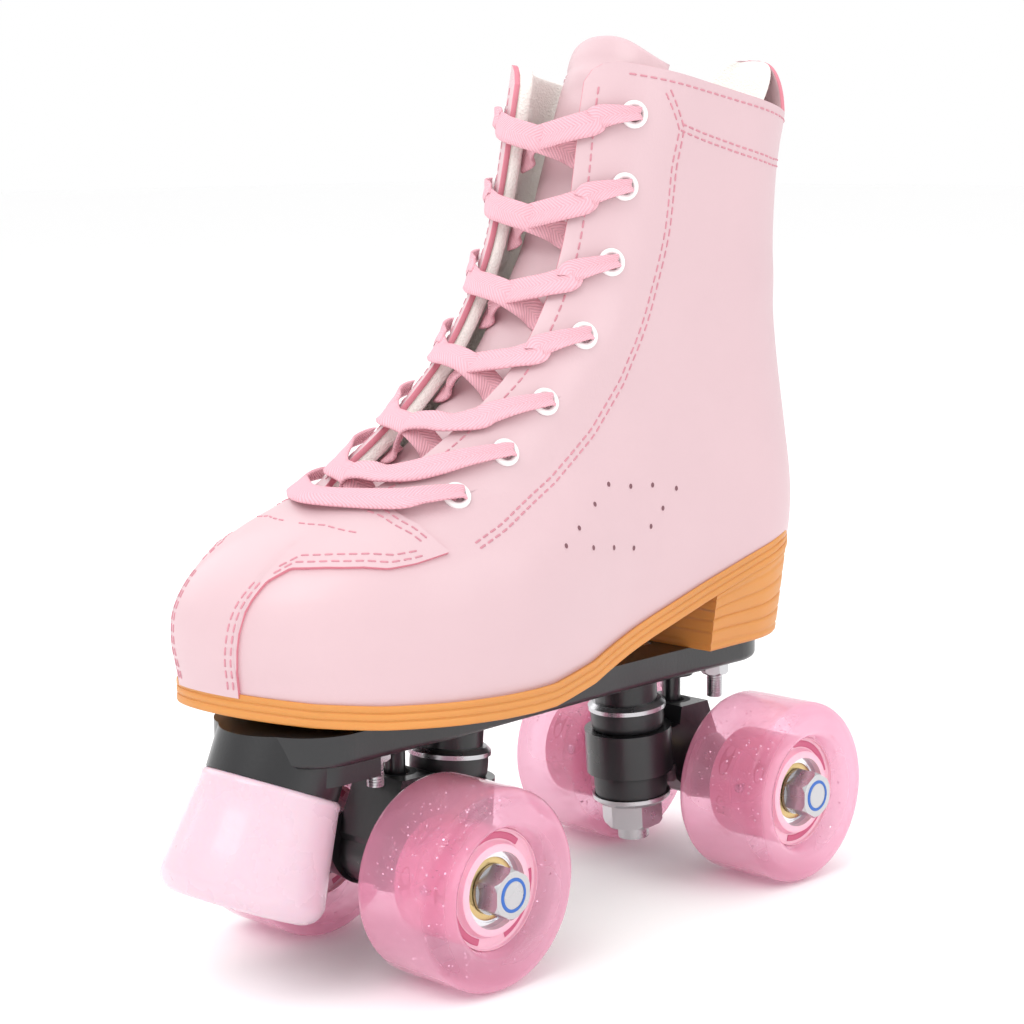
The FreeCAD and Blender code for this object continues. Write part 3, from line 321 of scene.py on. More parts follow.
# ---- materials ----
def srgb(r, g, b):
    def one(c):
        c = c / 255.0
        return c / 12.92 if c <= 0.04045 else ((c + 0.055) / 1.055) ** 2.4
    return (one(r), one(g), one(b), 1.0)


def node_of(tree, kind, **values):
    """A shader node with some of its sockets set."""
    made = tree.nodes.new("ShaderNode" + kind)
    for key, value in values.items():
        made.inputs[key.replace("_", " ")].default_value = value
    return made


def blank(name):
    """A new material with its node tree and its Principled shader."""
    m = bpy.data.materials.new(name)
    m.use_nodes = True
    return m, m.node_tree, m.node_tree.nodes["Principled BSDF"]


def bump_into(t, p, height, strength, distance):
    bump = node_of(t, "Bump", Strength=strength, Distance=distance)
    t.links.new(height, bump.inputs["Height"])
    t.links.new(bump.outputs["Normal"], p.inputs["Normal"])


def material(name, colour, rough=0.5, metal=0.0, vary=0.06, grain=0.0, grain_scale=300.0, coat=0.0,
             sheen=0.0, rough_vary=0.08, voronoi=False, subsurface=0.0):
    """A finish with a mottled colour, an uneven gloss and, where grain is given, a fine relief."""
    m, t, p = blank(name)
    coords = t.nodes.new("ShaderNodeTexCoord").outputs["Object"]

    def textured(kind, **values):
        made = node_of(t, kind, **values)
        t.links.new(coords, made.inputs["Vector"])
        return made

    ramp = t.nodes.new("ShaderNodeValToRGB")
    low, high = ramp.color_ramp.elements
    low.position, high.position = 0.3, 0.7
    r, g, b = colour[:3]
    low.color = (r * (1 - vary), g * (1 - vary * 1.2), b * (1 - vary), 1)
    high.color = tuple(min(1, c * (1 + vary)) for c in (r, g, b)) + (1,)
    t.links.new(textured("TexNoise", Scale=14.0, Detail=6).outputs["Fac"], ramp.inputs["Fac"])
    t.links.new(ramp.outputs["Color"], p.inputs["Base Color"])
    p.inputs["Metallic"].default_value = metal
    p.inputs["Coat Weight"].default_value = coat
    p.inputs["Coat Roughness"].default_value = 0.12
    p.inputs["Sheen Weight"].default_value = sheen
    p.inputs["Subsurface Weight"].default_value = subsurface
    if subsurface:
        p.inputs["Subsurface Scale"].default_value = 0.004
    spread = node_of(t, "MapRange", To_Min=max(0.02, rough - rough_vary),
                     To_Max=min(1.0, rough + rough_vary))
    t.links.new(textured("TexNoise", Scale=90.0, Detail=4).outputs["Fac"], spread.inputs["Value"])
    t.links.new(spread.outputs["Result"], p.inputs["Roughness"])
    if grain and voronoi:
        bump_into(t, p, textured("TexVoronoi", Scale=grain_scale).outputs["Distance"], grain, 0.0004)
    elif grain:
        relief = textured("TexNoise", Scale=grain_scale, Detail=8)
        bump_into(t, p, relief.outputs["Fac"], grain, 0.0004)
    return m


def woven(name, colour, along, across, strength=0.6, dark=0.75):
    """A chevron-woven ribbon, by the piece's own flow coordinates (mm along, mm across); the colour
    darkens where the weave's relief dips, painted shade in the weave.
    """
    m = material(name, colour, 0.8, vary=0.03)
    t = m.node_tree
    p = t.nodes["Principled BSDF"]

    def sum_of(operation, first, second=None, number=None):
        made = t.nodes.new("ShaderNodeMath")
        made.operation = operation
        t.links.new(first, made.inputs[0])
        if second is not None:
            t.links.new(second, made.inputs[1])
        if number is not None:
            made.inputs[1].default_value = number
        return made.outputs[0]

    uv = t.nodes.new("ShaderNodeUVMap")
    uv.uv_map = "flow"
    split = t.nodes.new("ShaderNodeSeparateXYZ")
    t.links.new(uv.outputs["UV"], split.inputs["Vector"])
    rows = sum_of("MULTIPLY", split.outputs["X"], number=along)
    slants = sum_of("MULTIPLY", sum_of("ABSOLUTE", split.outputs["Y"]), number=across)
    half = node_of(t, "MapRange", From_Min=-1.0)
    t.links.new(sum_of("SINE", sum_of("ADD", rows, slants)), half.inputs["Value"])
    # painted shade: the low part of the weave relief gets the darker colour
    ramp = t.nodes.new("ShaderNodeValToRGB")
    ramp.color_ramp.elements[0].color = tuple(c * dark for c in colour[:3]) + (1,)
    ramp.color_ramp.elements[1].color = colour
    ramp.color_ramp.elements[1].position = 0.6
    t.links.new(half.outputs["Result"], ramp.inputs["Fac"])
    t.links.new(ramp.outputs["Color"], p.inputs["Base Color"])
    bump_into(t, p, half.outputs["Result"], strength, 0.0003)
    return m


def clear_urethane(name, colour, share):
    """Tinted clear urethane: light passes straight through, tinted, under a glossy skin."""
    m, t, p = blank(name)
    coords = t.nodes.new("ShaderNodeTexCoord")
    noise = node_of(t, "TexNoise", Scale=60.0, Detail=5)
    t.links.new(coords.outputs["Object"], noise.inputs["Vector"])
    ramp = t.nodes.new("ShaderNodeValToRGB")
    ramp.color_ramp.elements[0].color = (colour[0] * 0.9, colour[1] * 0.82, colour[2] * 0.88, 1)
    ramp.color_ramp.elements[1].color = colour
    t.links.new(noise.outputs["Fac"], ramp.inputs["Fac"])
    t.links.new(ramp.outputs["Color"], p.inputs["Base Color"])
    p.inputs["Roughness"].default_value = 0.16
    p.inputs["Coat Weight"].default_value = 0.8
    p.inputs["Coat Roughness"].default_value = 0.05
    clear = node_of(t, "BsdfTransparent", Color=(0.96, 0.78, 0.86, 1))
    mix = t.nodes.new("ShaderNodeMixShader")
    facing = node_of(t, "LayerWeight", Blend=0.35)
    reach = node_of(t, "MapRange", To_Min=share, To_Max=0.95)
    t.links.new(facing.outputs["Facing"], reach.inputs["Value"])
    t.links.new(reach.outputs["Result"], mix.inputs["Fac"])
    t.links.new(clear.outputs["BSDF"], mix.inputs[1])
    t.links.new(p.outputs["BSDF"], mix.inputs[2])
    t.links.new(mix.outputs["Shader"], t.nodes["Material Output"].inputs["Surface"])
    return m


# the dark colour of a punched hole is painted shade, standing in for the depth of the hole
painted_hole_shade = material("painted shade inside a punched hole", srgb(120, 84, 90), 0.9, vary=0.1, grain=0.2)
PINK = srgb(205, 175, 180)
leather = material("pink leather", PINK, 0.42, vary=0.025, grain=0.10, grain_scale=1400.0,
                   coat=0.08, rough_vary=0.07)
raw_edge = material("raw leather edge", srgb(208, 128, 142), 0.75, vary=0.1, grain=0.3,
                    grain_scale=2500.0)
thread = material("pink thread", srgb(205, 140, 152), 0.7, vary=0.1, grain=0.5, grain_scale=6000.0)
fabric = material("cream lining", srgb(240, 236, 230), 0.85, vary=0.03, grain=0.5,
                  grain_scale=1500.0, sheen=0.2,
                  voronoi=True)
insole_cloth = material("insole cloth", srgb(236, 230, 222), 0.9, vary=0.04, grain=0.6,
                        grain_scale=1200.0,
                        sheen=0.2, voronoi=True)
board_mat = material("fibre board", srgb(190, 160, 120), 0.85, vary=0.12, grain=0.4, grain_scale=800.0)
gum = material("gum rubber", srgb(203, 136, 66), 0.5, vary=0.07, grain=0.15, grain_scale=500.0,
               subsurface=0.1)
nylon = material("black nylon", srgb(22, 22, 24), 0.33, vary=0.25, grain=0.10, grain_scale=900.0,
                 coat=0.15)
black_paint = material("black truck", srgb(24, 24, 26), 0.30, vary=0.25, grain=0.18,
                       grain_scale=300.0, coat=0.3)
zinc = material("zinc plate", srgb(190, 190, 192), 0.28, metal=1.0, vary=0.05, grain=0.06,
                grain_scale=700.0)
chrome = material("bearing chrome", srgb(222, 222, 226), 0.12, metal=1.0, vary=0.03, grain=0.02,
                  grain_scale=500.0,
                  rough_vary=0.04)
brass = material("bearing shield", srgb(205, 180, 128), 0.28, metal=1.0, vary=0.06, grain=0.05,
                 grain_scale=900.0)
blue_nylon = material("blue nylon ring", srgb(40, 96, 178), 0.4, vary=0.08, grain=0.1,
                      grain_scale=800.0)
white_gloss = material("white enamel", srgb(246, 243, 242), 0.16, vary=0.01, grain=0.03,
                       grain_scale=700.0, coat=0.6,
                       rough_vary=0.04)
lace_mat = woven("pink lace", srgb(238, 180, 192), along=5.2, across=5.6, dark=0.80)
stop_mat = material("pale pink rubber", srgb(214, 186, 198), 0.28, vary=0.02, grain=0.08,
                    grain_scale=400.0, coat=0.3,
                    subsurface=0.15)
rubber = material("black rubber", srgb(26, 26, 28), 0.6, vary=0.2, grain=0.3, grain_scale=900.0)
cushion_mat = material("cushion urethane", srgb(34, 34, 36), 0.42, vary=0.2, grain=0.15,
                 grain_scale=700.0, coat=0.1)
core_mat = material("pink core", srgb(240, 190, 206), 0.36, vary=0.03, grain=0.08,
                    grain_scale=600.0, coat=0.2,
                    subsurface=0.1)
# darker pink is painted shade for the core's pockets and windows, which are built shallow or flat
core_pocket_shade = material("painted shade in core pockets", srgb(196, 96, 128), 0.45, vary=0.06, grain=0.1,
                     grain_scale=600.0)
glitter = material("silver glitter", srgb(248, 246, 250), 0.15, metal=0.85, vary=0.05,
                   rough_vary=0.06, grain=0.05)
urethane = clear_urethane("clear pink urethane", srgb(244, 176, 200), 0.20)
floor_mat = material("white sweep", srgb(254, 254, 254), 0.9, vary=0.002)

# ---- boot shell ----
STEP = 1


def shell_grid(low_rise, top, per_ring, columns, edge_inset=0.0):
    """Ring and turn of a shell that runs from the left facing edge round the heel to the right."""
    v = np.linspace(0, 1, columns)
    share = v * 2
    side = np.where(v < 0.5, 1.0, -1.0)
    local = np.where(v < 0.5, share, 2 - share)
    rows_low = np.linspace(0, 1, 12)
    s_low = rim_s(side, math.pi * local, low_rise)
    grid = []
    for f in rows_low[:-1]:
        grid.append(s_low + (3.4 - s_low) * f)
    turns_of_edge = [a for a, _ in GAP if 3.4 < a < top]
    marks = sorted(set(list(np.arange(3.4, top, 1.0 / per_ring)) + turns_of_edge + [top]))
    for s in marks:
        grid.append(np.full(columns, s))
    s = np.array(grid)
    gap = np.maximum(0.0, interp(GAP, s) + edge_inset * (s > 6.0))
    gap = np.where(s <= 6.0, 0.0, gap)
    start = np.where(gap > 0, turn_at_half(s, gap), 0.0)
    turn = start + (math.pi - start) * local[None, :]
    return s, np.broadcast_to(side, s.shape), turn, gap[:, 0] <= 0


def cut_holes(target, cutters):
    """Bores the holes that the cutters fill; a cut that fails leaves the piece whole."""
    cutter = mesh_object("hole_tool", *join(cutters), [raw_edge], body=None)
    mod = target.modifiers.new("holes", "BOOLEAN")
    mod.operation = "DIFFERENCE"
    mod.solver = "EXACT"
    mod.object = cutter
    depsgraph = bpy.context.evaluated_depsgraph_get()
    made = bpy.data.meshes.new_from_object(target.evaluated_get(depsgraph))
    target.modifiers.clear()
    if len(made.polygons) > len(target.data.polygons) * 0.5:
        target.data = made
    bpy.data.objects.remove(cutter)


def rod(start, end, radius, segments=20):
    profile = [(0, 0.0001), (0, radius), (1, radius), (1, 0.0001)]
    v, f = revolve(profile, segments)
    v = v * np.array([np.linalg.norm(np.subtract(end, start)), 1, 1])
    return placed(v, start, np.subtract(end, start)), f


def close_toe(outer, inner, seam):
    """Brings the left and right edges together along the toe's centre line."""
    for layer in (outer, inner):
        middle = (layer[seam, 0] + layer[seam, -1]) / 2
        layer[seam, 0] = middle
        layer[seam, -1] = middle


def eyelet_at(k, sd):
    """Place and outward direction of an eyelet on the leather."""
    t0 = turn_at_half(EYELET_RINGS[k], EYELET_HALF)
    return point(EYELET_RINGS[k], sd, t0), normal(EYELET_RINGS[k], sd, t0)


def eyelet_bores(depth, proud):
    bores = []
    for sd in (1, -1):
        for k in range(len(EYELET_RINGS)):
            p0, n0 = eyelet_at(k, sd)
            bores.append(rod(p0 - n0 * depth, p0 + n0 * proud, EYELET_BORE))
    return bores


s, side, turn, seam = shell_grid(-3.0, COLLAR, 7 // STEP, 181 // STEP)
outer = point(s, side, turn)
inner = skin_at(s, side, turn, skin)
close_toe(outer, inner, seam)
v, f, marks = sheet_mesh(outer, inner, bulge=0.35, seam=seam)
boot = mesh_object("boot_leather", v, f, [leather, fabric, raw_edge], marks, slot="leather",
                   merge=0.001)
PERFORATIONS = [(3.76, 1.347), (3.41, 1.473), (3.14, 1.580), (2.87, 1.681), (4.15, 1.404),
                (4.70, 1.473), (5.20, 1.524), (4.89, 1.637), (4.70, 1.744), (4.35, 1.864),
                (3.84, 1.807), (3.37, 1.757)]
cut_holes(boot, eyelet_bores(9, 3))
boot.data.set_sharp_from_angle(angle=math.radians(50))
even = boot.modifiers.new("even_shading", "WEIGHTED_NORMAL")
even.keep_sharp = True
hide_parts("upper_left", "upper_right", "toe_puff", "heel_counter")

# punched breathing holes: a dark dished disc, painted shade for the hole's depth, inside a slightly
# raised, rolled leather rim
punch_v, punch_f = revolve([(0.03, 0.001), (0.02, 0.4), (0.05, 0.78), (0.14, 0.86), (0.16, 0.95),
                            (0.10, 1.06),
                            (-0.1, 1.12)], 24)
hole_parts = []
for sd in (1, -1):
    for a, b in PERFORATIONS:
        hole_parts.append((placed(punch_v, point(a, sd, b), normal(a, sd, b)), punch_f))
v, f = join(hole_parts)
# the two innermost rings of each punch get the painted shade
dark = [1 if (i % 6) < 2 else 0 for i in range(len(f))]
mesh_object("breathing_holes", v, f, [leather, painted_hole_shade], dark, slot="leather")

# lining, with a padded roll along the collar and the facings
s, side, turn, seam = shell_grid(-3.0, COLLAR - 0.10, 5 // STEP, 141 // STEP, edge_inset=0.9)
pad = 1.6 * smooth((s - 12.9) / 1.2) * smooth(turn / 1.2)
outer = skin_at(s, side, turn, skin + 0.02)
inner = skin_at(s, side, turn, lining_depth - 0.3 + pad)
close_toe(outer, inner, seam)
v, f, marks = sheet_mesh(outer, inner, bulge=1.1, steps=6, seam=seam)
lining = mesh_object("boot_lining", v, f, [fabric], slot="lining_white", merge=0.001)
cut_holes(lining, eyelet_bores(11, 1))
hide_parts("lining")

# ---- overlays ----
LOWER = [(0.0, None), (0.19, None), (0.2, 1.55), (0.214, 2.6), (0.222, 3.37), (0.246, 4.0),
         (0.308, 4.38),
         (0.453, 4.38), (0.592, 4.31), (0.686, 4.19), (0.774, 4.23), (0.881, 4.40)]
UPPER = [(0.0, 6.72), (0.164, 6.76), (0.30, 6.52), (0.485, 6.17), (0.705, 5.43), (0.80, 4.95),
         (0.881, 4.44)]


def overlay_edges(t):
    """The lowest and highest ring of the toe overlay at each turn."""
    rim = rim_s(1.0, t, -1.0)
    low = [(a, b) for a, b in LOWER if b is not None]
    return np.where(t < 0.195, rim, interp(low, t)), interp(UPPER, t)


half = sorted(set(list(np.linspace(0, 0.19, 10)) + list(np.linspace(0.196, 0.25, 10))
                  + list(np.linspace(0.26, 0.881, 44 // STEP))))
signed = np.array([-t for t in half[:0:-1]] + half)
low, high = overlay_edges(np.abs(signed))
rows = np.linspace(0, 1, 44)[:, None]
s = low[None, :] + (high - low)[None, :] * rows
turn = np.broadcast_to(np.abs(signed)[None, :], s.shape)
side = np.where(np.broadcast_to(signed[None, :], s.shape) >= 0, 1.0, -1.0)
outer = skin_at(s, side, turn, -OVERLAY_PROUD)
inner = skin_at(s, side, turn, 0.15)
v, f, marks = sheet_mesh(outer, inner, bulge=0.1, steps=3)
toe = mesh_object("toe_cap_overlay", v, f, [leather, leather, raw_edge], marks, slot="leather",
                  merge=0.001, sharp=40)
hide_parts("toe_overlay")


def back_grid(s, half):
    """Ring, side and turn of a strip on the heel's centre line; half is its half width at each ring."""
    v = np.linspace(-1, 1, 25 if np.ndim(half) else 17)
    s = s[:, None] * np.ones((1, len(v)))
    side = np.where(v >= 0, 1.0, -1.0)[None, :] * np.ones(s.shape)
    return s, side, turn_at_half(s, np.reshape(half, (-1, 1)) * np.abs(v)[None, :], True)


def back_ring(z):
    zs = [r[3] for r in RINGS]
    return float(np.interp(z, zs, range(len(zs))))


strap_rings = np.linspace(float(rim_s(1.0, np.array(math.pi), -1.0)), back_ring(224.0), 90 // STEP)
s, side, turn = back_grid(strap_rings, BACKSTAY_HALF)
outer = skin_at(s, side, turn, -BACKSTAY_PROUD)
inner = skin_at(s, side, turn, 0.1)
v, f, marks = sheet_mesh(outer, inner, bulge=0.1, steps=3)
strap = mesh_object("heel_backstay", v, f, [leather, leather, raw_edge], marks, slot="leather",
                    merge=0.001, sharp=40)
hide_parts("backstay")


# pull tab: a loop of soft leather, pink outside and cream inside, sewn on both faces of the collar
def tab_half(rise):
    over = np.clip((rise - 5.0) / 13.6, 0, 0.995)
    return 15.0 * np.sqrt(1 - over ** 2.4)


def tab_layer(rise, depth_outer, depth_inner):
    rings = COLLAR + np.where(rise > 0, rise / 20.0, rise / 7.5)
    s, side, turn = back_grid(rings, tab_half(rise))
    puff = 0.5 * np.sin(np.linspace(-5.0, 5.0, s.shape[1]))[None, :] * smooth(rise / 12.0)[:, None]
    a = skin_at(s, side, turn, depth_outer[:, None] + puff)
    b = skin_at(s, side, turn, depth_inner[:, None] + puff)
    return sheet_mesh(a, b, bulge=0.3, steps=4)


rise = np.linspace(-11.0, 18.2, 40)
out_depth = -1.5 - 0.6 * smooth((rise + 2) / 4) + 3.4 * smooth(rise / 18.0)
v, f, marks = tab_layer(rise, out_depth, out_depth + 1.3)
tab = mesh_object("pull_tab_outer", v, f, [leather, leather, raw_edge], marks, slot="leather",
                  merge=0.001)
in_rise = np.linspace(-17.0, 17.6, 40)
in_depth = np.interp(in_rise, [-17, 0, 2, 18], [8.4, 8.5, 8.2, 2.9])
v, f, marks = tab_layer(in_rise, in_depth - 1.3, in_depth)
tab_in = mesh_object("pull_tab_inner", v, f, [fabric], slot="lining_white", merge=0.001)
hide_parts("pull_tab")
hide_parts("pull_tab")

# ---- stitches ----
STITCH = 2.5
STITCH_V, STITCH_F = revolve([(0.0, 0.02), (0.12, 0.224), (0.4, 0.32), (STITCH - 0.4, 0.32),
                              (STITCH - 0.12, 0.224), (STITCH, 0.02)], 7)


def stitch_line(places, normals, parts, offset=0.0, pitch=3.3, sink=0.12):
    """Stitches every pitch along a line on the leather; offset moves the line sideways."""
    ahead = unit(np.gradient(places, axis=0))
    if offset:
        places = places + unit(np.cross(normals, ahead)) * offset
    gaps = np.linalg.norm(np.diff(places, axis=0), axis=1)
    dist = np.concatenate([[0], np.cumsum(gaps)])
    count = int(dist[-1] // pitch)
    for k in range(count):
        a = (k + 0.1) * pitch
        p = np.array([np.interp(a, dist, places[:, i]) for i in range(3)])
        q = np.array([np.interp(a + STITCH, dist, places[:, i]) for i in range(3)])
        n = unit(np.array([np.interp(a + 1.2, dist, normals[:, i]) for i in range(3)]))
        d = q - p
        if np.linalg.norm(d) < 1.0:
            continue
        verts = STITCH_V * np.array([np.linalg.norm(d) / STITCH, 1, 1])
        arch = np.sin(np.clip(STITCH_V[:, 0] / STITCH, 0, 1) * math.pi) * 0.18
        verts = placed(verts, p, d, n) + n * (arch[:, None] - sink)
        parts.append((verts, STITCH_F))


def dense(line, count=240):
    a = np.array(line, float)
    legs = np.linalg.norm(np.diff(a * np.array([1.0, 6.0]), axis=0), axis=1)
    d = np.concatenate([[0], np.cumsum(legs)])
    x = np.linspace(0, d[-1], count)
    return np.interp(x, d, a[:, 0]), np.interp(x, d, a[:, 1])


def on_skin(line, sd, depth):
    a, b = dense(line)
    return skin_at(a, sd, b, depth), normal(a, sd, b)


SEAM = [(14.55, 0.98), (13.82, 1.165), (13.20, 1.146), (12.08, 1.19), (9.98, 1.247), (8.70, 1.303),
        (7.34, 1.297), (6.06, 1.215), (4.93, 1.064), (4.45, 0.955)]
COLLAR_BAND = [(13.82, 1.165), (13.55, 1.624), (13.13, 2.241), (13.0, 2.75)]
stitches = []
for sd in (1, -1):
    for line in (SEAM, COLLAR_BAND):
        p, n = on_skin(line, sd, 0.0)
        stitch_line(p, n, stitches)
        stitch_line(p, n, stitches, offset=2.0)
    edge_s = np.linspace(6.9, 14.6, 300)
    t0 = turn_at_half(edge_s, interp(GAP, edge_s) + 4.0)
    stitch_line(point(edge_s, sd, t0), normal(edge_s, sd, t0), stitches)
    back = np.linspace(turn_at_half(14.85, 24.0).item(), math.pi - 0.5, 260)
    top = np.full(back.shape, 14.80)
    stitch_line(point(top, sd, back), normal(top, sd, back), stitches)
    # overlay rows, 1.5 and 3.5 mm inside its edge
    for inside in (1.5, 3.4):
        t = np.linspace(0.25, 0.80, 160)
        lo, hi = overlay_edges(t)
        p = skin_at(lo + inside / 9.5, sd, t, -OVERLAY_PROUD)
        stitch_line(p, normal(lo, sd, t), stitches)
        t = np.linspace(0.0, 0.80, 200)
        lo, hi = overlay_edges(t)
        p = skin_at(hi - inside / 12.5, sd, t, -OVERLAY_PROUD)
        stitch_line(p, normal(hi, sd, t), stitches)
        a = np.linspace(1.0, 4.1, 80)
        edge = np.interp(a, [0.9, 1.55, 2.6, 3.37, 4.1], [.19, .196, .212, .22, .25])
        t = edge - inside * 0.014
        p = skin_at(a, sd, t, -OVERLAY_PROUD)
        stitch_line(p, normal(a, sd, t), stitches)
    a = np.linspace(2.4, back_ring(222.0), 260)
    t = turn_at_half(a, BACKSTAY_HALF - 1.6, True)
    p = skin_at(a, sd, t, -BACKSTAY_PROUD)
    stitch_line(p, normal(a, sd, t), stitches)
TOE_ARC = [(5.36, 0.466), (5.67, 0.246), (5.71, 0.031)]
for sd in (1, -1):
    p, n = on_skin(TOE_ARC, sd, -OVERLAY_PROUD)
    stitch_line(p, n, stitches)
v, f = join(stitches)
mesh_object("boot_stitches", v, f, [thread], slot="leather")

# ---- tongue ----
rows_t = np.linspace(6.3, 15.42, 80 // STEP)
across = np.linspace(-1, 1, 49)
s = rows_t[:, None] - 0.33 * (np.abs(across)[None, :] ** 2.2) * smooth((rows_t[:, None] - 13.5) / 2)
side = np.where(across >= 0, 1.0, -1.0)[None, :] * np.ones((len(rows_t), 1))
half = np.minimum(interp(GAP, s) + 15.0, row_at(s)[4] * 0.93)
turn = turn_at_half(s, half * np.abs(across)[None, :])
lean = interp(TONGUE_LEAN, s)
quilt = 0.25 * np.sin(s * 9.0) * np.cos(across * 2.4)[None, :]
crown = 2.4 * (1 - np.abs(across)[None, :] ** 2.5)
rim_thin = smooth((15.42 - s) / 0.35) * 0.8 + 0.2
groove = 0.9 * np.exp(-((s - 15.05 + 0.33 * (np.abs(across)[None, :] ** 2.2)) / 0.05) ** 2)
outer_depth = 9.9 - crown * rim_thin * 0.55 - quilt + groove
inner_depth = 16.0 - 3.2 * np.abs(across)[None, :] ** 4 + (1 - rim_thin) * -1.6
outer = skin_at(s, side, turn, outer_depth, lean)
inner = skin_at(s, side, turn, inner_depth, lean)
v, f, marks = sheet_mesh(outer, inner, bulge=1.6, steps=8)
tongue = mesh_object("padded_tongue", v, f, [leather, fabric, leather], marks, slot="leather",
                     merge=0.001)
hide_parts("tongue")
tongue_stitches = []
t_across = np.linspace(-0.86, 0.86, 200)
a = 15.0 - 0.33 * np.abs(t_across) ** 2.2
sd = np.where(t_across >= 0, 1.0, -1.0)
t0 = turn_at_half(a, np.minimum(interp(GAP, a) + 15, row_at(a)[4] * 0.93) * np.abs(t_across))
ln = interp(TONGUE_LEAN, a)
stitch_line(skin_at(a, sd, t0, 9.4, ln), normal(a, sd, t0, ln), tongue_stitches)
v, f = join(tongue_stitches)
mesh_object("tongue_stitches", v, f, [thread], slot="leather")

# ---- insole ----
def outline(inset, count=121):
    """The sole's outline in plan, pulled in by inset."""
    base = np.array(RINGS[1], float)
    base[0] -= 0.5
    base[2] -= 0.5
    base[4] += 1.0
    base[5] += 1.0
    t = np.linspace(0, math.pi, count)
    y = base[0] + inset + (base[2] - base[0] - 2 * inset) * (1 - np.cos(t)) / 2
    b = base.copy()
    b[0] += inset
    b[2] -= inset
    reach = smooth((y - waist_start_y) / (waist_end_y - waist_start_y))
    h = b[4] + (b[5] - b[4]) * reach - inset
    w = h * cap((y - b[0]) / b[6]) * cap((b[2] - y) / b[7])
    c = interp(FOOT_BEND, y)
    left = np.stack([c + w, y], -1)
    right = np.stack([c - w, y], -1)[-2:0:-1]
    return np.concatenate([left, right])


def stacked(rings, caps):
    """Closed outlines one above the other; caps lists an end's faces as points of an outline."""
    k, n = len(rings), len(rings[0])
    faces = []
    for i in range(k - 1):
        for j in range(n):
            b = (j + 1) % n
            faces.append((i * n + j, i * n + b, (i + 1) * n + b, (i + 1) * n + j))
    last = (k - 1) * n
    for end_face in caps:
        faces.append(tuple(end_face[::-1]))
        faces.append(tuple(last + c for c in end_face))
    return np.concatenate(rings), faces


def across_caps(n):
    """Faces that fill an outline in strips from its left side to its right."""
    strips = [[j, j + 1, n - j - 1, n - j] for j in range(1, n // 2 - 1)]
    return [[0, 1, n - 1]] + strips + [[n // 2 - 1, n // 2, n - n // 2 + 1]]


def rim_z(xy, rise):
    return np.concatenate([xy, (interp(RIM_TOP, xy[:, 1]) + rise)[:, None]], 1)


rings = []
for inset, rise_mm in ((10.6, 2.6), (10.2, 3.0), (10.1, 4.6), (10.6, 5.6), (12.0, 6.0), (16.0, 6.1)):
    rings.append(rim_z(outline(inset), rise_mm))
v, f = stacked(rings, across_caps(len(rings[0])))
foot = mesh_object("insole_cushion", v, f, [insole_cloth], slot="lining_white", sharp=60)
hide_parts("insole")

# ---- sole ----
n_out = 361
profile = [(0.9, -0.35), (0.35, 0.0), (0.05, -0.15), (0.0, -0.5), (0.0, -1.7), (0.15, -1.85),
           (0.35, -2.0), (0.35, -2.2), (0.15, -2.35), (0.0, -2.5), (0.0, -3.9), (0.15, -4.05),
           (0.35, -4.2), (0.35, -4.4), (0.15, -4.55), (0.0, -4.7), (0.0, -6.2), (0.12, -6.6),
           (0.5, -6.8), (1.2, -6.8)]
rings = [rim_z(outline(i, n_out), r) for i, r in profile]
v, f = stacked(rings, across_caps(len(rings[0])))
sole = mesh_object("gum_sole", v, f, [gum], slot="gum", sharp=60)
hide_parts("sole")
# heel block: under the rim's back part, with grooves that run round it in a gentle wave
HEEL_FRONT = 46.0
GROOVES = 5
HEEL_ROWS = 44
keep = outline(0.0, n_out)[:, 1] > HEEL_FRONT - 1.0
rings = []
for k in range(HEEL_ROWS + 1):
    share = k / HEEL_ROWS
    groove = max(0.0, 1 - abs(share * GROOVES % 1.0 - 0.5) / 0.14)
    cut = 0.55 * groove if 0 < share < 1 else 0.3
    o = outline(3.0 * (1 - share) + 0.3 * share + cut, n_out)
    top_z = interp(RIM_TOP, o[:, 1]) - 6.7
    wave = 0.9 * np.sin(o[:, 1] / 9.0 + o[:, 0] / 11.0) * math.sin(math.pi * share)
    z = PLATE_TOP + (top_z - PLATE_TOP) * share + wave
    rings.append(np.stack([o[:, 0], np.maximum(o[:, 1], HEEL_FRONT + 0.5 * cut), z], -1)[keep])
v, f = stacked(rings, [list(range(len(rings[0])))])
heel = mesh_object("gum_heel_block", v, f, [gum], slot="gum", sharp=60)
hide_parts("sole")

# ---- eyelets ----
eye_profile = [(-5.8, 2.25), (-0.2, 2.25), (0.5, 2.35), (0.95, 2.7), (1.15, 3.15), (1.1, 3.6),
               (0.85, 3.95),
               (0.5, 4.15), (0.1, 4.2), (0.0, 4.0), (-0.1, 2.8), (-5.8, 2.7)]
ev, ef = revolve(eye_profile, 40, closed=True)
eye_parts = []
for sd in (1, -1):
    for k in range(len(EYELET_RINGS)):
        p0, n0 = eyelet_at(k, sd)
        eye_parts.append((placed(ev, p0 + n0 * 0.05, n0), ef))
v, f = join(eye_parts)
eyes = mesh_object("boot_eyelets", v, f, [white_gloss], slot="eyelet_white", sharp=50)
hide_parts("eyelets")

# ---- lace ----
LACE_W, LACE_T = 8.0, 1.2


def gap_frame(a, share, height):
    e = turn_at_half(a, interp(GAP, a))
    left, right = skin_at(a, 1, e, -height), skin_at(a, -1, e, -height)
    n = unit(normal(a, 1, e) + normal(a, -1, e))
    return (left + right) / 2 + (left - right) * (share / 2), n, LACE_W


def facing_frame(a, sd, beyond, height, width=LACE_W):
    t0 = turn_at_half(a, interp(GAP, a) + beyond)
    n = normal(a, sd, t0)
    return point(a, sd, t0) + n * height, n, width


def eye_frame(k, sd, height, width):
    place, n = eyelet_at(k, sd)
    return place + n * height, n, width


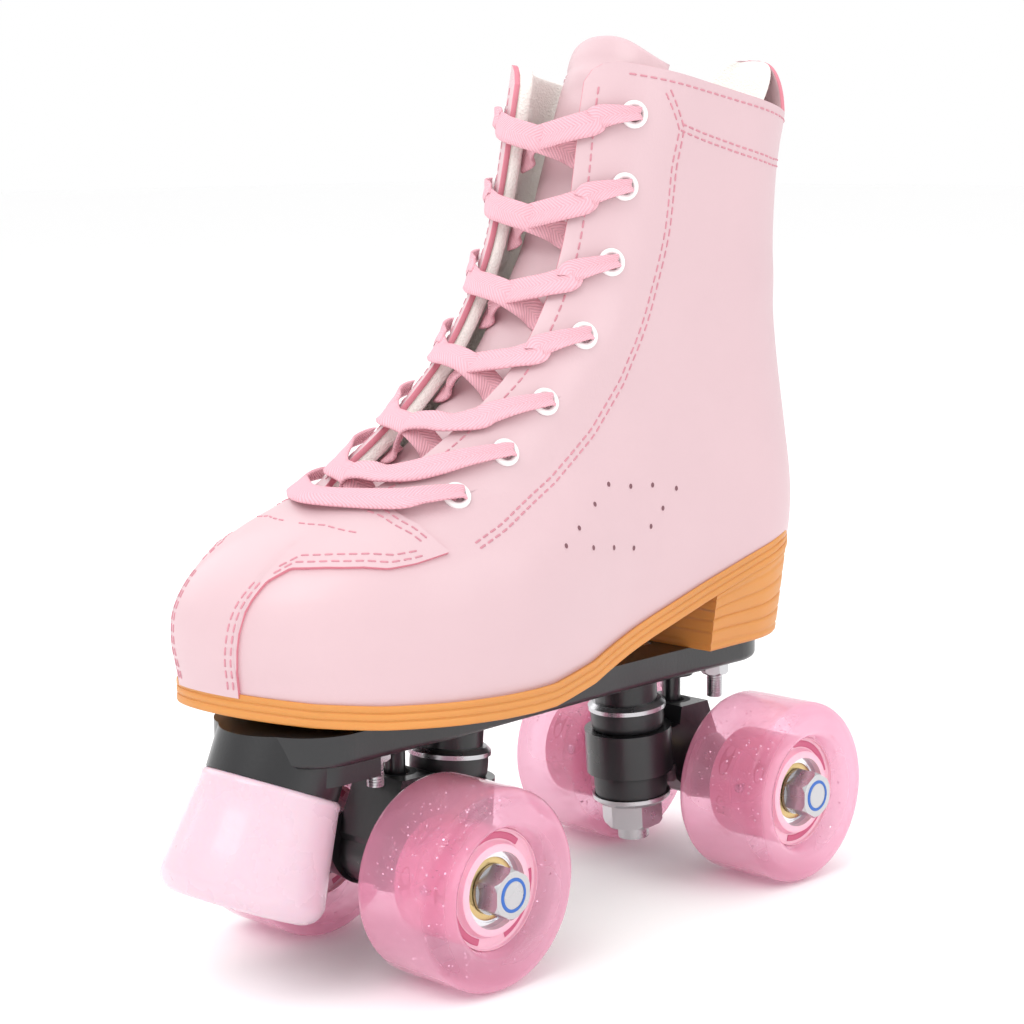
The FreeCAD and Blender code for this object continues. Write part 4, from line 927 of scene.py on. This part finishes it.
def ribbon(frames, samples=9):
    """A soft flat ribbon with rounded edges through (place, normal, width) frames."""
    p = np.array([fr[0] for fr in frames], float)
    nn = np.array([fr[1] for fr in frames], float)
    w = np.array([fr[2] for fr in frames], float)
    count = (len(frames) - 1) * samples + 1
    t = np.linspace(0, len(frames) - 1, count)

    def spline(a):
        i = np.clip(t.astype(int), 0, len(a) - 2)
        u = (t - i)[:, None] if a.ndim > 1 else t - i
        a0, a1 = a[np.maximum(0, i - 1)], a[i]
        a2, a3 = a[i + 1], a[np.minimum(len(a) - 1, i + 2)]
        return 0.5 * (2 * a1 + (a2 - a0) * u + (2 * a0 - 5 * a1 + 4 * a2 - a3) * u * u
                      + (3 * a1 - a0 - 3 * a2 + a3) * u ** 3)
    place, nrm, width = spline(p), unit(spline(nn)), spline(w)
    ahead = unit(np.gradient(place, axis=0))
    nrm = unit(nrm - ahead * np.sum(nrm * ahead, -1, keepdims=True))
    sideways = np.cross(ahead, nrm)
    dist = np.concatenate([[0], np.cumsum(np.linalg.norm(np.diff(place, axis=0), axis=1))])
    section = [(-1, 0.5), (-0.94, 0.92), (-0.6, 1.0), (-0.3, 1.04), (0.0, 1.05), (0.3, 1.04),
               (0.6, 1.0),
               (0.94, 0.92), (1, 0.5), (0.94, 0.08), (0.5, 0.0), (0.0, 0.0), (-0.5, 0.0), (-0.94, 0.08)]
    verts, uv, faces = [], [], []
    m = len(section)
    for i in range(count):
        for u, h in section:
            squeeze = min(1.0, width[i] / LACE_W)
            fold = (1 - squeeze) * 1.6 * abs(u)
            verts.append(place[i] + sideways[i] * (u * width[i] / 2) + nrm[i] * (h * LACE_T + fold))
            uv.append((dist[i], u * 4.0))
    for i in range(count - 1):
        for j in range(m):
            b = (j + 1) % m
            faces.append((i * m + j, i * m + b, (i + 1) * m + b, (i + 1) * m + j))
    faces.append(tuple(range(m)))
    faces.append(tuple(range((count - 1) * m, count * m))[::-1])
    return np.array(verts), faces, uv


lengths, lace_uv = [], []


def add_ribbon(frames):
    """Adds one length of lace with its weave coordinates."""
    v, f, uv = ribbon(frames, 10)
    lengths.append((v, f))
    lace_uv.extend(uv)


under = -lining_depth - 0.6 - LACE_T
for sd in (1, -1):
    for k in range(len(EYELET_RINGS) - 1):
        a, b = EYELET_RINGS[k], EYELET_RINGS[k + 1]
        st = b - a
        on_top = (sd > 0) == (k >= 2)
        high = 1.8 + (LACE_T + 0.35 if on_top else 0.0)
        reach = EYELET_HALF - interp(GAP, b)
        add_ribbon([facing_frame(a + 0.40 * st, sd, 4.5, under),
                    gap_frame(a + 0.47 * st, sd * 0.85, under + 0.4),
                    gap_frame(a + 0.54 * st, sd * 0.50, under * 0.45),
                    gap_frame(a + 0.61 * st, sd * 0.05, high - 0.6),
                    gap_frame(a + 0.68 * st, -sd * 0.42, high),
                    gap_frame(a + 0.75 * st, -sd * 0.88, 1.6),
                    facing_frame(a + 0.83 * st, -sd, 3.6, 1.0),
                    facing_frame(a + 0.91 * st, -sd, reach - 6.4, 1.2, 7.4),
                    facing_frame(a + 0.96 * st, -sd, reach - 3.2, 1.9, 5.6),
                    eye_frame(k + 1, -sd, 1.5, 4.0), eye_frame(k + 1, -sd, -0.8, 3.4)])
bar = EYELET_RINGS[0]
beside = EYELET_HALF - interp(GAP, bar)
add_ribbon([eye_frame(0, 1, -0.8, 3.4), eye_frame(0, 1, 1.5, 4.2),
            facing_frame(bar, 1, beside - 3.4, 2.4, 5.8),
            facing_frame(bar, 1, beside - 7.5, 2.2, 7.6), gap_frame(bar, 0.0, 3.4),
            facing_frame(bar, -1, beside - 7.5, 2.2, 7.6),
            facing_frame(bar, -1, beside - 3.4, 2.4, 5.8),
            eye_frame(0, -1, 1.5, 4.2), eye_frame(0, -1, -0.8, 3.4)])
lace = mesh_object("flat_lace", *join(lengths), [lace_mat], uv=lace_uv, slot="lace_pink", sharp=70)
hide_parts("lace")

# ---- toe stop ----
tilt = math.radians(23.0)
stop_axis = np.array([0, -math.sin(tilt), -math.cos(tilt)])
stop_top = np.array([0, -108.7, 58.5])
STOP = 35.0
profile = [(STOP - 12.0, 9.0), (STOP - 1.2, 9.0), (STOP - 0.3, 9.5), (STOP, 10.4), (STOP, 17.0)]
for k in range(1, 9):
    a = math.radians(90 * k / 8)
    profile.append((29.0 + 6.0 * math.cos(a), 17.6 + 6.0 * math.sin(a)))
profile += [(20.0, 22.2), (10.0, 20.9), (2.6, 19.95), (2.2, 20.05), (1.6, 20.05), (0.9, 19.8),
            (0.4, 19.3), (0.0, 18.6), (0.0, 5.2), (STOP - 12.0, 5.2)]
v, f = revolve(profile, 120, closed=True)
stopper = mesh_object("toe_stopper", placed(v, stop_top, stop_axis), f, [stop_mat],
                      slot="stop_pink", sharp=40)
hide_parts("toe_stop")

# ---- wheels ----
rng = random.Random(7)
AXLE_Z = 29.0
AXLE_Y = 69.0
HALF_TRACK = 36.0
WHEEL_RADIUS = 29.0
HALF_WIDTH = 16.0
SHOULDER = 4.6
CORE_RADIUS = 17.26


def tyre_profile():
    """Half the tyre's outer face and its mirror, then the bore that grips the core."""
    pts = [(HALF_WIDTH, 20.4), (HALF_WIDTH, 24.3)]
    for k in range(9):
        a = math.radians(90 * k / 8)
        pts.append((HALF_WIDTH - SHOULDER + SHOULDER * math.cos(a),
                    WHEEL_RADIUS - SHOULDER + SHOULDER * math.sin(a)))
    pts += [(6.0, WHEEL_RADIUS), (0.0, WHEEL_RADIUS)]
    mirrored = [(-x, r) for x, r in pts[::-1][1:]]
    inner = [(-15.6, 19.2), (-14.6, 18.4), (-13.2, 17.9), (-11.4, 17.4), (0.0, 17.3), (11.4, 17.4),
             (13.2, 17.9), (14.6, 18.4), (15.6, 19.2)]
    return pts + mirrored + inner


CORE_FACE = [(12.2, 11.0), (12.2, 12.6), (11.9, 13.1), (10.4, 13.4), (9.9, 13.9), (9.9, 16.4),
             (10.3, 16.9), (11.2, 17.05), (11.2, 17.2), (3.2, 17.2), (3.0, 16.6), (2.6, 16.4)]
CORE_BORE = [(-10.0, 11.0), (-3.0, 11.0), (-3.0, 9.2), (3.0, 9.2), (3.0, 11.0)]
CORE = CORE_FACE + [(-x, r) for x, r in CORE_FACE[::-1]] + CORE_BORE


def around(x, r, a):
    """A point at radius r and angle a round the wheel's axis."""
    return (x, r * math.cos(a), r * math.sin(a))


def ring_arc(a0, a1, r0, r1, x, depth, steps=14):
    """A shallow C-shaped pocket face between two angles and radii."""
    verts, faces = [], []
    for k in range(steps + 1):
        a = a0 + (a1 - a0) * k / steps
        for r, d in ((r0, 0.0), (r0 + 0.3, depth), (r1 - 0.3, depth), (r1, 0.0)):
            verts.append(around(x + d, r, a))
    for k in range(steps):
        for j in range(3):
            faces.append((k * 4 + j, k * 4 + j + 1, k * 4 + j + 5, k * 4 + j + 4))
    for base in (0, steps * 4):
        faces.append((base, base + 1, base + 2, base + 3))
    near = tuple(k * 4 for k in range(steps + 1))
    faces.append(near + tuple(k + 3 for k in near[::-1]))
    return np.array(verts), faces


for key, sx, ey in (("front_left", 1, -AXLE_Y), ("front_right", -1, -AXLE_Y),
                    ("rear_left", 1, AXLE_Y), ("rear_right", -1, AXLE_Y)):
    body = key + "_wheel"
    centre = np.array([HALF_TRACK * sx, ey, AXLE_Z])
    spin = 0.6 if ey < 0 else 2.1
    c, d = math.cos(spin), math.sin(spin)
    turned = np.array([[sx, 0, 0], [0, c, d], [0, -d, c]])

    def put(v):
        return (np.asarray(v, float) @ turned) + centre

    v, f = revolve(tyre_profile(), 128, closed=True)
    tyre = mesh_object(key + "_clear_tyre", put(v), f, [urethane], body=body, slot="urethane",
                       merge=0.0005, sharp=35)
    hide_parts(key + "_tyre")
    v, f = revolve(CORE, 96, closed=True)
    core = mesh_object(key + "_core_drum", put(v), f, [core_mat], body=body, slot="core_pink",
                       merge=0.0005, sharp=35)
    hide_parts(key + "_core")
    # shallow C-shaped pockets and flat oval windows on the core, coloured with painted shade for their
    # depth
    details = []
    for face in (1, -1):
        for k in range(3):
            a0 = 2 * math.pi * k / 3
            v, f = ring_arc(a0 + 0.25, a0 + 1.65, 14.2, 16.2, 9.92 * face, 0.25 * face)
            details.append((v, f))
    for k in range(6):
        a = 2 * math.pi * k / 6 + 0.4
        oval = [around(0, CORE_RADIUS, a)]
        for i in range(25):
            b = 2 * math.pi * i / 24
            oval.append(around(2.2 * math.cos(b), CORE_RADIUS, a + 0.34 * math.sin(b)))
        v = np.array(oval)
        v[:, 0] += 7.0
        details.append((v, [(0, i, i + 1) for i in range(1, 25)]))
        w2 = v.copy()
        w2[:, 0] -= 14.0
        details.append((w2, [(0, i + 1, i) for i in range(1, 25)]))
    v, f = join(details)
    mesh_object(key + "_core_pockets", put(v), f, [core_pocket_shade], body=body, slot="core_pink", sharp=35)
    leds = []
    for k in range(4):
        a = 2 * math.pi * k / 4 + 0.9
        prof = [(0.0, 1.7), (0.5, 1.6), (0.8, 1.1), (0.95, 0.01)]
        lv, lf = revolve(prof, 20)
        d = np.array(around(0, 1, a))
        leds.append((placed(lv, d * 16.35, d, (1, 0, 0)), lf))
    v, f = join(leds)
    mesh_object(key + "_led_buttons", put(v), f, [chrome], body=body, slot="bearing_steel")
    flakes = []
    for k in range(900):
        r = math.sqrt(rng.uniform(18.2 ** 2, 28.3 ** 2))
        a = rng.uniform(0, 2 * math.pi)
        over = (r - 24.4) / SHOULDER
        lim = 15.2 if r < 24.4 else 11.2 + 4.0 * math.sqrt(max(0.02, 1 - over ** 2))
        x = rng.uniform(-lim, lim)
        size = rng.uniform(0.16, 0.42)
        d = unit(np.array([rng.gauss(0, 1), rng.gauss(0, 1), rng.gauss(0, 1)]))
        e = unit(np.cross(d, [0.3, 0.8, 0.5]))
        g = np.cross(d, e)
        c = np.array(around(x, r, a))
        flakes.append((np.array([c + e * size, c + g * size, c - e * size, c - g * size]),
                       [(0, 1, 2, 3)]))
    v, f = join(flakes)
    mesh_object(key + "_glitter", put(v), f, [glitter], body=body, slot="urethane", smooth_shade=False)
    shields = []
    for face in (1, -1):
        shields.append(revolve([(9.55 * face, 5.2), (9.75 * face, 5.5), (9.75 * face, 8.6),
                                (9.6 * face, 9.0),
                                (9.2 * face, 9.1), (9.2 * face, 5.2)], 64, closed=True))
    v, f = join(shields)
    mesh_object(key + "_bearing_shields", put(v), f, [brass], body=body, slot="bearing_steel", sharp=35)

# ---- hardware details ----
def helix(start, end, radius, pitch=0.8, depth=0.35, segments=24):
    """A screw thread sleeve: a wavy-radius tube along the bolt with its crest running as a helix."""
    start, end = np.array(start, float), np.array(end, float)
    length = np.linalg.norm(end - start)
    rows = max(8, int(length / (pitch / 6)))
    verts, faces = [], []
    for i in range(rows + 1):
        x = length * i / rows
        for j in range(segments):
            a = 2 * math.pi * j / segments
            wave = 0.5 + 0.5 * math.cos(2 * math.pi * (x / pitch) - a)
            taper = min(1.0, x / pitch, (length - x) / pitch)
            r = radius - depth + depth * wave * max(0.0, taper)
            verts.append(around(x, r, a))
    for i in range(rows):
        for j in range(segments):
            b = (j + 1) % segments
            faces.append((i * segments + j, i * segments + b, (i + 1) * segments + b,
                          (i + 1) * segments + j))
    faces.append(tuple(range(segments))[::-1])
    faces.append(tuple(range(rows * segments, (rows + 1) * segments)))
    return placed(np.array(verts), start, end - start), faces


def node_box(name):
    lo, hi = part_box(name)
    return np.array(lo) * 1000, np.array(hi) * 1000


threads = []
for x in (10, -10):
    for y in (-79, 72):
        threads.append(helix((x, y, 54.0 - 0.15), (x, y, 66.0), 2.62))
v, f = join(threads)
mesh_object("plate_bolt_threads", v, f, [zinc], slot="zinc", sharp=50)


def nut_ring(origin, direction, inner_r, outer_r, height):
    prof = [(0.0, inner_r), (0.0, outer_r - 0.3), (0.25, outer_r), (height - 0.5, outer_r),
            (height, outer_r - 0.5), (height, inner_r)]
    rv, rf = revolve(prof, 40, closed=True)
    return placed(rv, origin, direction), rf


for end, body, ey in (("front", "front_truck", -AXLE_Y), ("rear", "rear_truck", AXLE_Y)):
    lo, hi = node_box(end + "_axle_nuts")
    rings_b, tips = [], []
    for sx in (1, -1):
        face = hi[0] if sx > 0 else -lo[0]
        rings_b.append(nut_ring((sx * (face - 0.6), ey, AXLE_Z), (sx, 0, 0), 3.95, 5.2, 0.85))
        alo, ahi = node_box(end + "_axle")
        tip = ahi[0] if sx > 0 else -alo[0]
        tips.append(helix((sx * (face - 3.0), ey, AXLE_Z), (sx * (tip + 0.05), ey, AXLE_Z), 4.02,
                          pitch=1.0))
    v, f = join(rings_b)
    mesh_object(end + "_axle_nut_inserts", v, f, [blue_nylon], body=body, slot="zinc", sharp=40)
    v, f = join(tips)
    mesh_object(end + "_axle_threads", v, f, [zinc], body=body, slot="zinc", sharp=60)

# ---- steering cushions, which give between the plate's washers and the hanger's ring ----
for end, body, sign in (("front", "front_truck", -1.0), ("rear", "rear_truck", 1.0)):
    lean_angle = math.radians(4.5)
    down = np.array([0.0, sign * math.sin(lean_angle), -math.cos(lean_angle)])
    for which, height, toward_ring in (("upper", 8.0, 1.0), ("lower", 9.0, -1.0)):
        lo, hi = node_box(end + "_" + which + "_cushion")
        middle = (lo + hi) / 2
        start = middle - down * (height / 2)
        wall = [(0.0, 5.6), (0.0, 10.9), (0.25, 11.3), (0.8, 11.5)]
        wall += [(height * k / 8, 11.5 + 0.3 * math.sin(math.pi * k / 8)) for k in range(1, 8)]
        wall += [(height - 0.8, 11.5), (height - 0.25, 11.3), (height, 10.9), (height, 5.6)]
        wall += [(height * (1 - k / 6), 5.6) for k in range(1, 6)]
        cv, cf = revolve(wall, 72, closed=True)
        cushion = mesh_object(end + "_" + which + "_cushion_barrel", placed(cv, start, down), cf,
                              [cushion_mat], body=None, slot="black_rubber", sharp=50)
        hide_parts(end + "_" + which + "_cushion")
        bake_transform(cushion)

# ---- finishes of the CAD pieces still showing ----
LOOKS = {"plate": nylon, "plate_bolts": zinc, "plate_nuts": zinc, "toe_stop_washer": zinc,
         "toe_stop_screw": zinc,
         "insole_board": board_mat}
TRUCK_LOOKS = {"hanger": black_paint, "axle": zinc, "axle_nuts": zinc, "kingpin": zinc,
               "kingpin_nut": zinc,
               "upper_cushion": cushion_mat, "lower_cushion": cushion_mat, "cup_washers": zinc,
               "pivot_pin": black_paint,
               "pivot_cup": rubber, "bearing_outers": chrome, "bearing_inners": chrome, "balls": chrome}
for name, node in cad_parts.items():
    look = LOOKS.get(name)
    for ending, value in TRUCK_LOOKS.items():
        if name.endswith("_" + ending) and name not in LOOKS:
            look = value
    if look is not None:
        node.data.materials.clear()
        node.data.materials.append(look)

# ---- camera, floor and light ----
azimuth, elevation, roll = math.radians(44.108), math.radians(8.839), math.radians(-0.408)
camera_place = np.array([499.71, -527.87, 235.20])
back = np.array([math.sin(azimuth) * math.cos(elevation), -math.cos(azimuth) * math.cos(elevation),
                 math.sin(elevation)])
right = np.array([math.cos(azimuth), math.sin(azimuth), 0.0])
up = np.cross(back, right)
r2 = right * math.cos(roll) + up * math.sin(roll)
u2 = -right * math.sin(roll) + up * math.cos(roll)


def standing(x, y, z, place):
    """A placing matrix from three axes and a place in metres."""
    return Matrix([(x[i], y[i], z[i], place[i]) for i in range(3)] + [(0, 0, 0, 1)])


cam = bpy.data.objects.new("camera", bpy.data.cameras.new("camera"))
cam.data.lens = 84.75
cam.data.sensor_width = 36.0
cam.data.clip_start = 0.01
cam.data.clip_end = 50.0
bpy.context.scene.collection.objects.link(cam)
cam.matrix_world = standing(r2, u2, back, camera_place * MM)
bpy.context.scene.camera = cam

FLOOR_HALF = 9000.0
FLOOR_Z = -0.05
corners = [(a * FLOOR_HALF, b * FLOOR_HALF, FLOOR_Z) for a, b in ((-1, -1), (1, -1), (1, 1), (-1, 1))]
floor = mesh_object("studio_floor", corners, [(0, 1, 2, 3)], [floor_mat], body=None, smooth_shade=False)


def area(name, place, aim, size, power):
    light = bpy.data.lights.new(name, "AREA")
    light.shape = "RECTANGLE"
    light.size = size[0]
    light.size_y = size[1]
    light.energy = power
    o = bpy.data.objects.new(name, light)
    bpy.context.scene.collection.objects.link(o)
    z = unit(np.subtract(place, aim))
    x = unit(np.cross((0, 0, 1), z))
    o.matrix_world = standing(x, np.cross(z, x), z, place)


area("key_light", (0.2, -1.3, 1.5), (0, 0, 0.12), (1.2, 1.0), 13.0)
area("side_light", (1.5, 0.4, 0.9), (0, 0, 0.12), (1.0, 1.0), 6.0)
area("fill_light", (-1.3, -0.2, 1.0), (0, 0, 0.12), (1.2, 1.2), 5.0)
area("top_light", (0.0, 0.05, 1.8), (0, 0, 0.1), (1.4, 1.4), 5.0)
world = bpy.data.worlds.new("studio")
bpy.context.scene.world = world
world.use_nodes = True
world.node_tree.nodes["Background"].inputs["Color"].default_value = (1.0, 1.0, 1.0, 1.0)
world.node_tree.nodes["Background"].inputs["Strength"].default_value = 1.0
bpy.context.scene.view_settings.view_transform = "Standard"
bpy.context.scene.view_settings.look = "None"
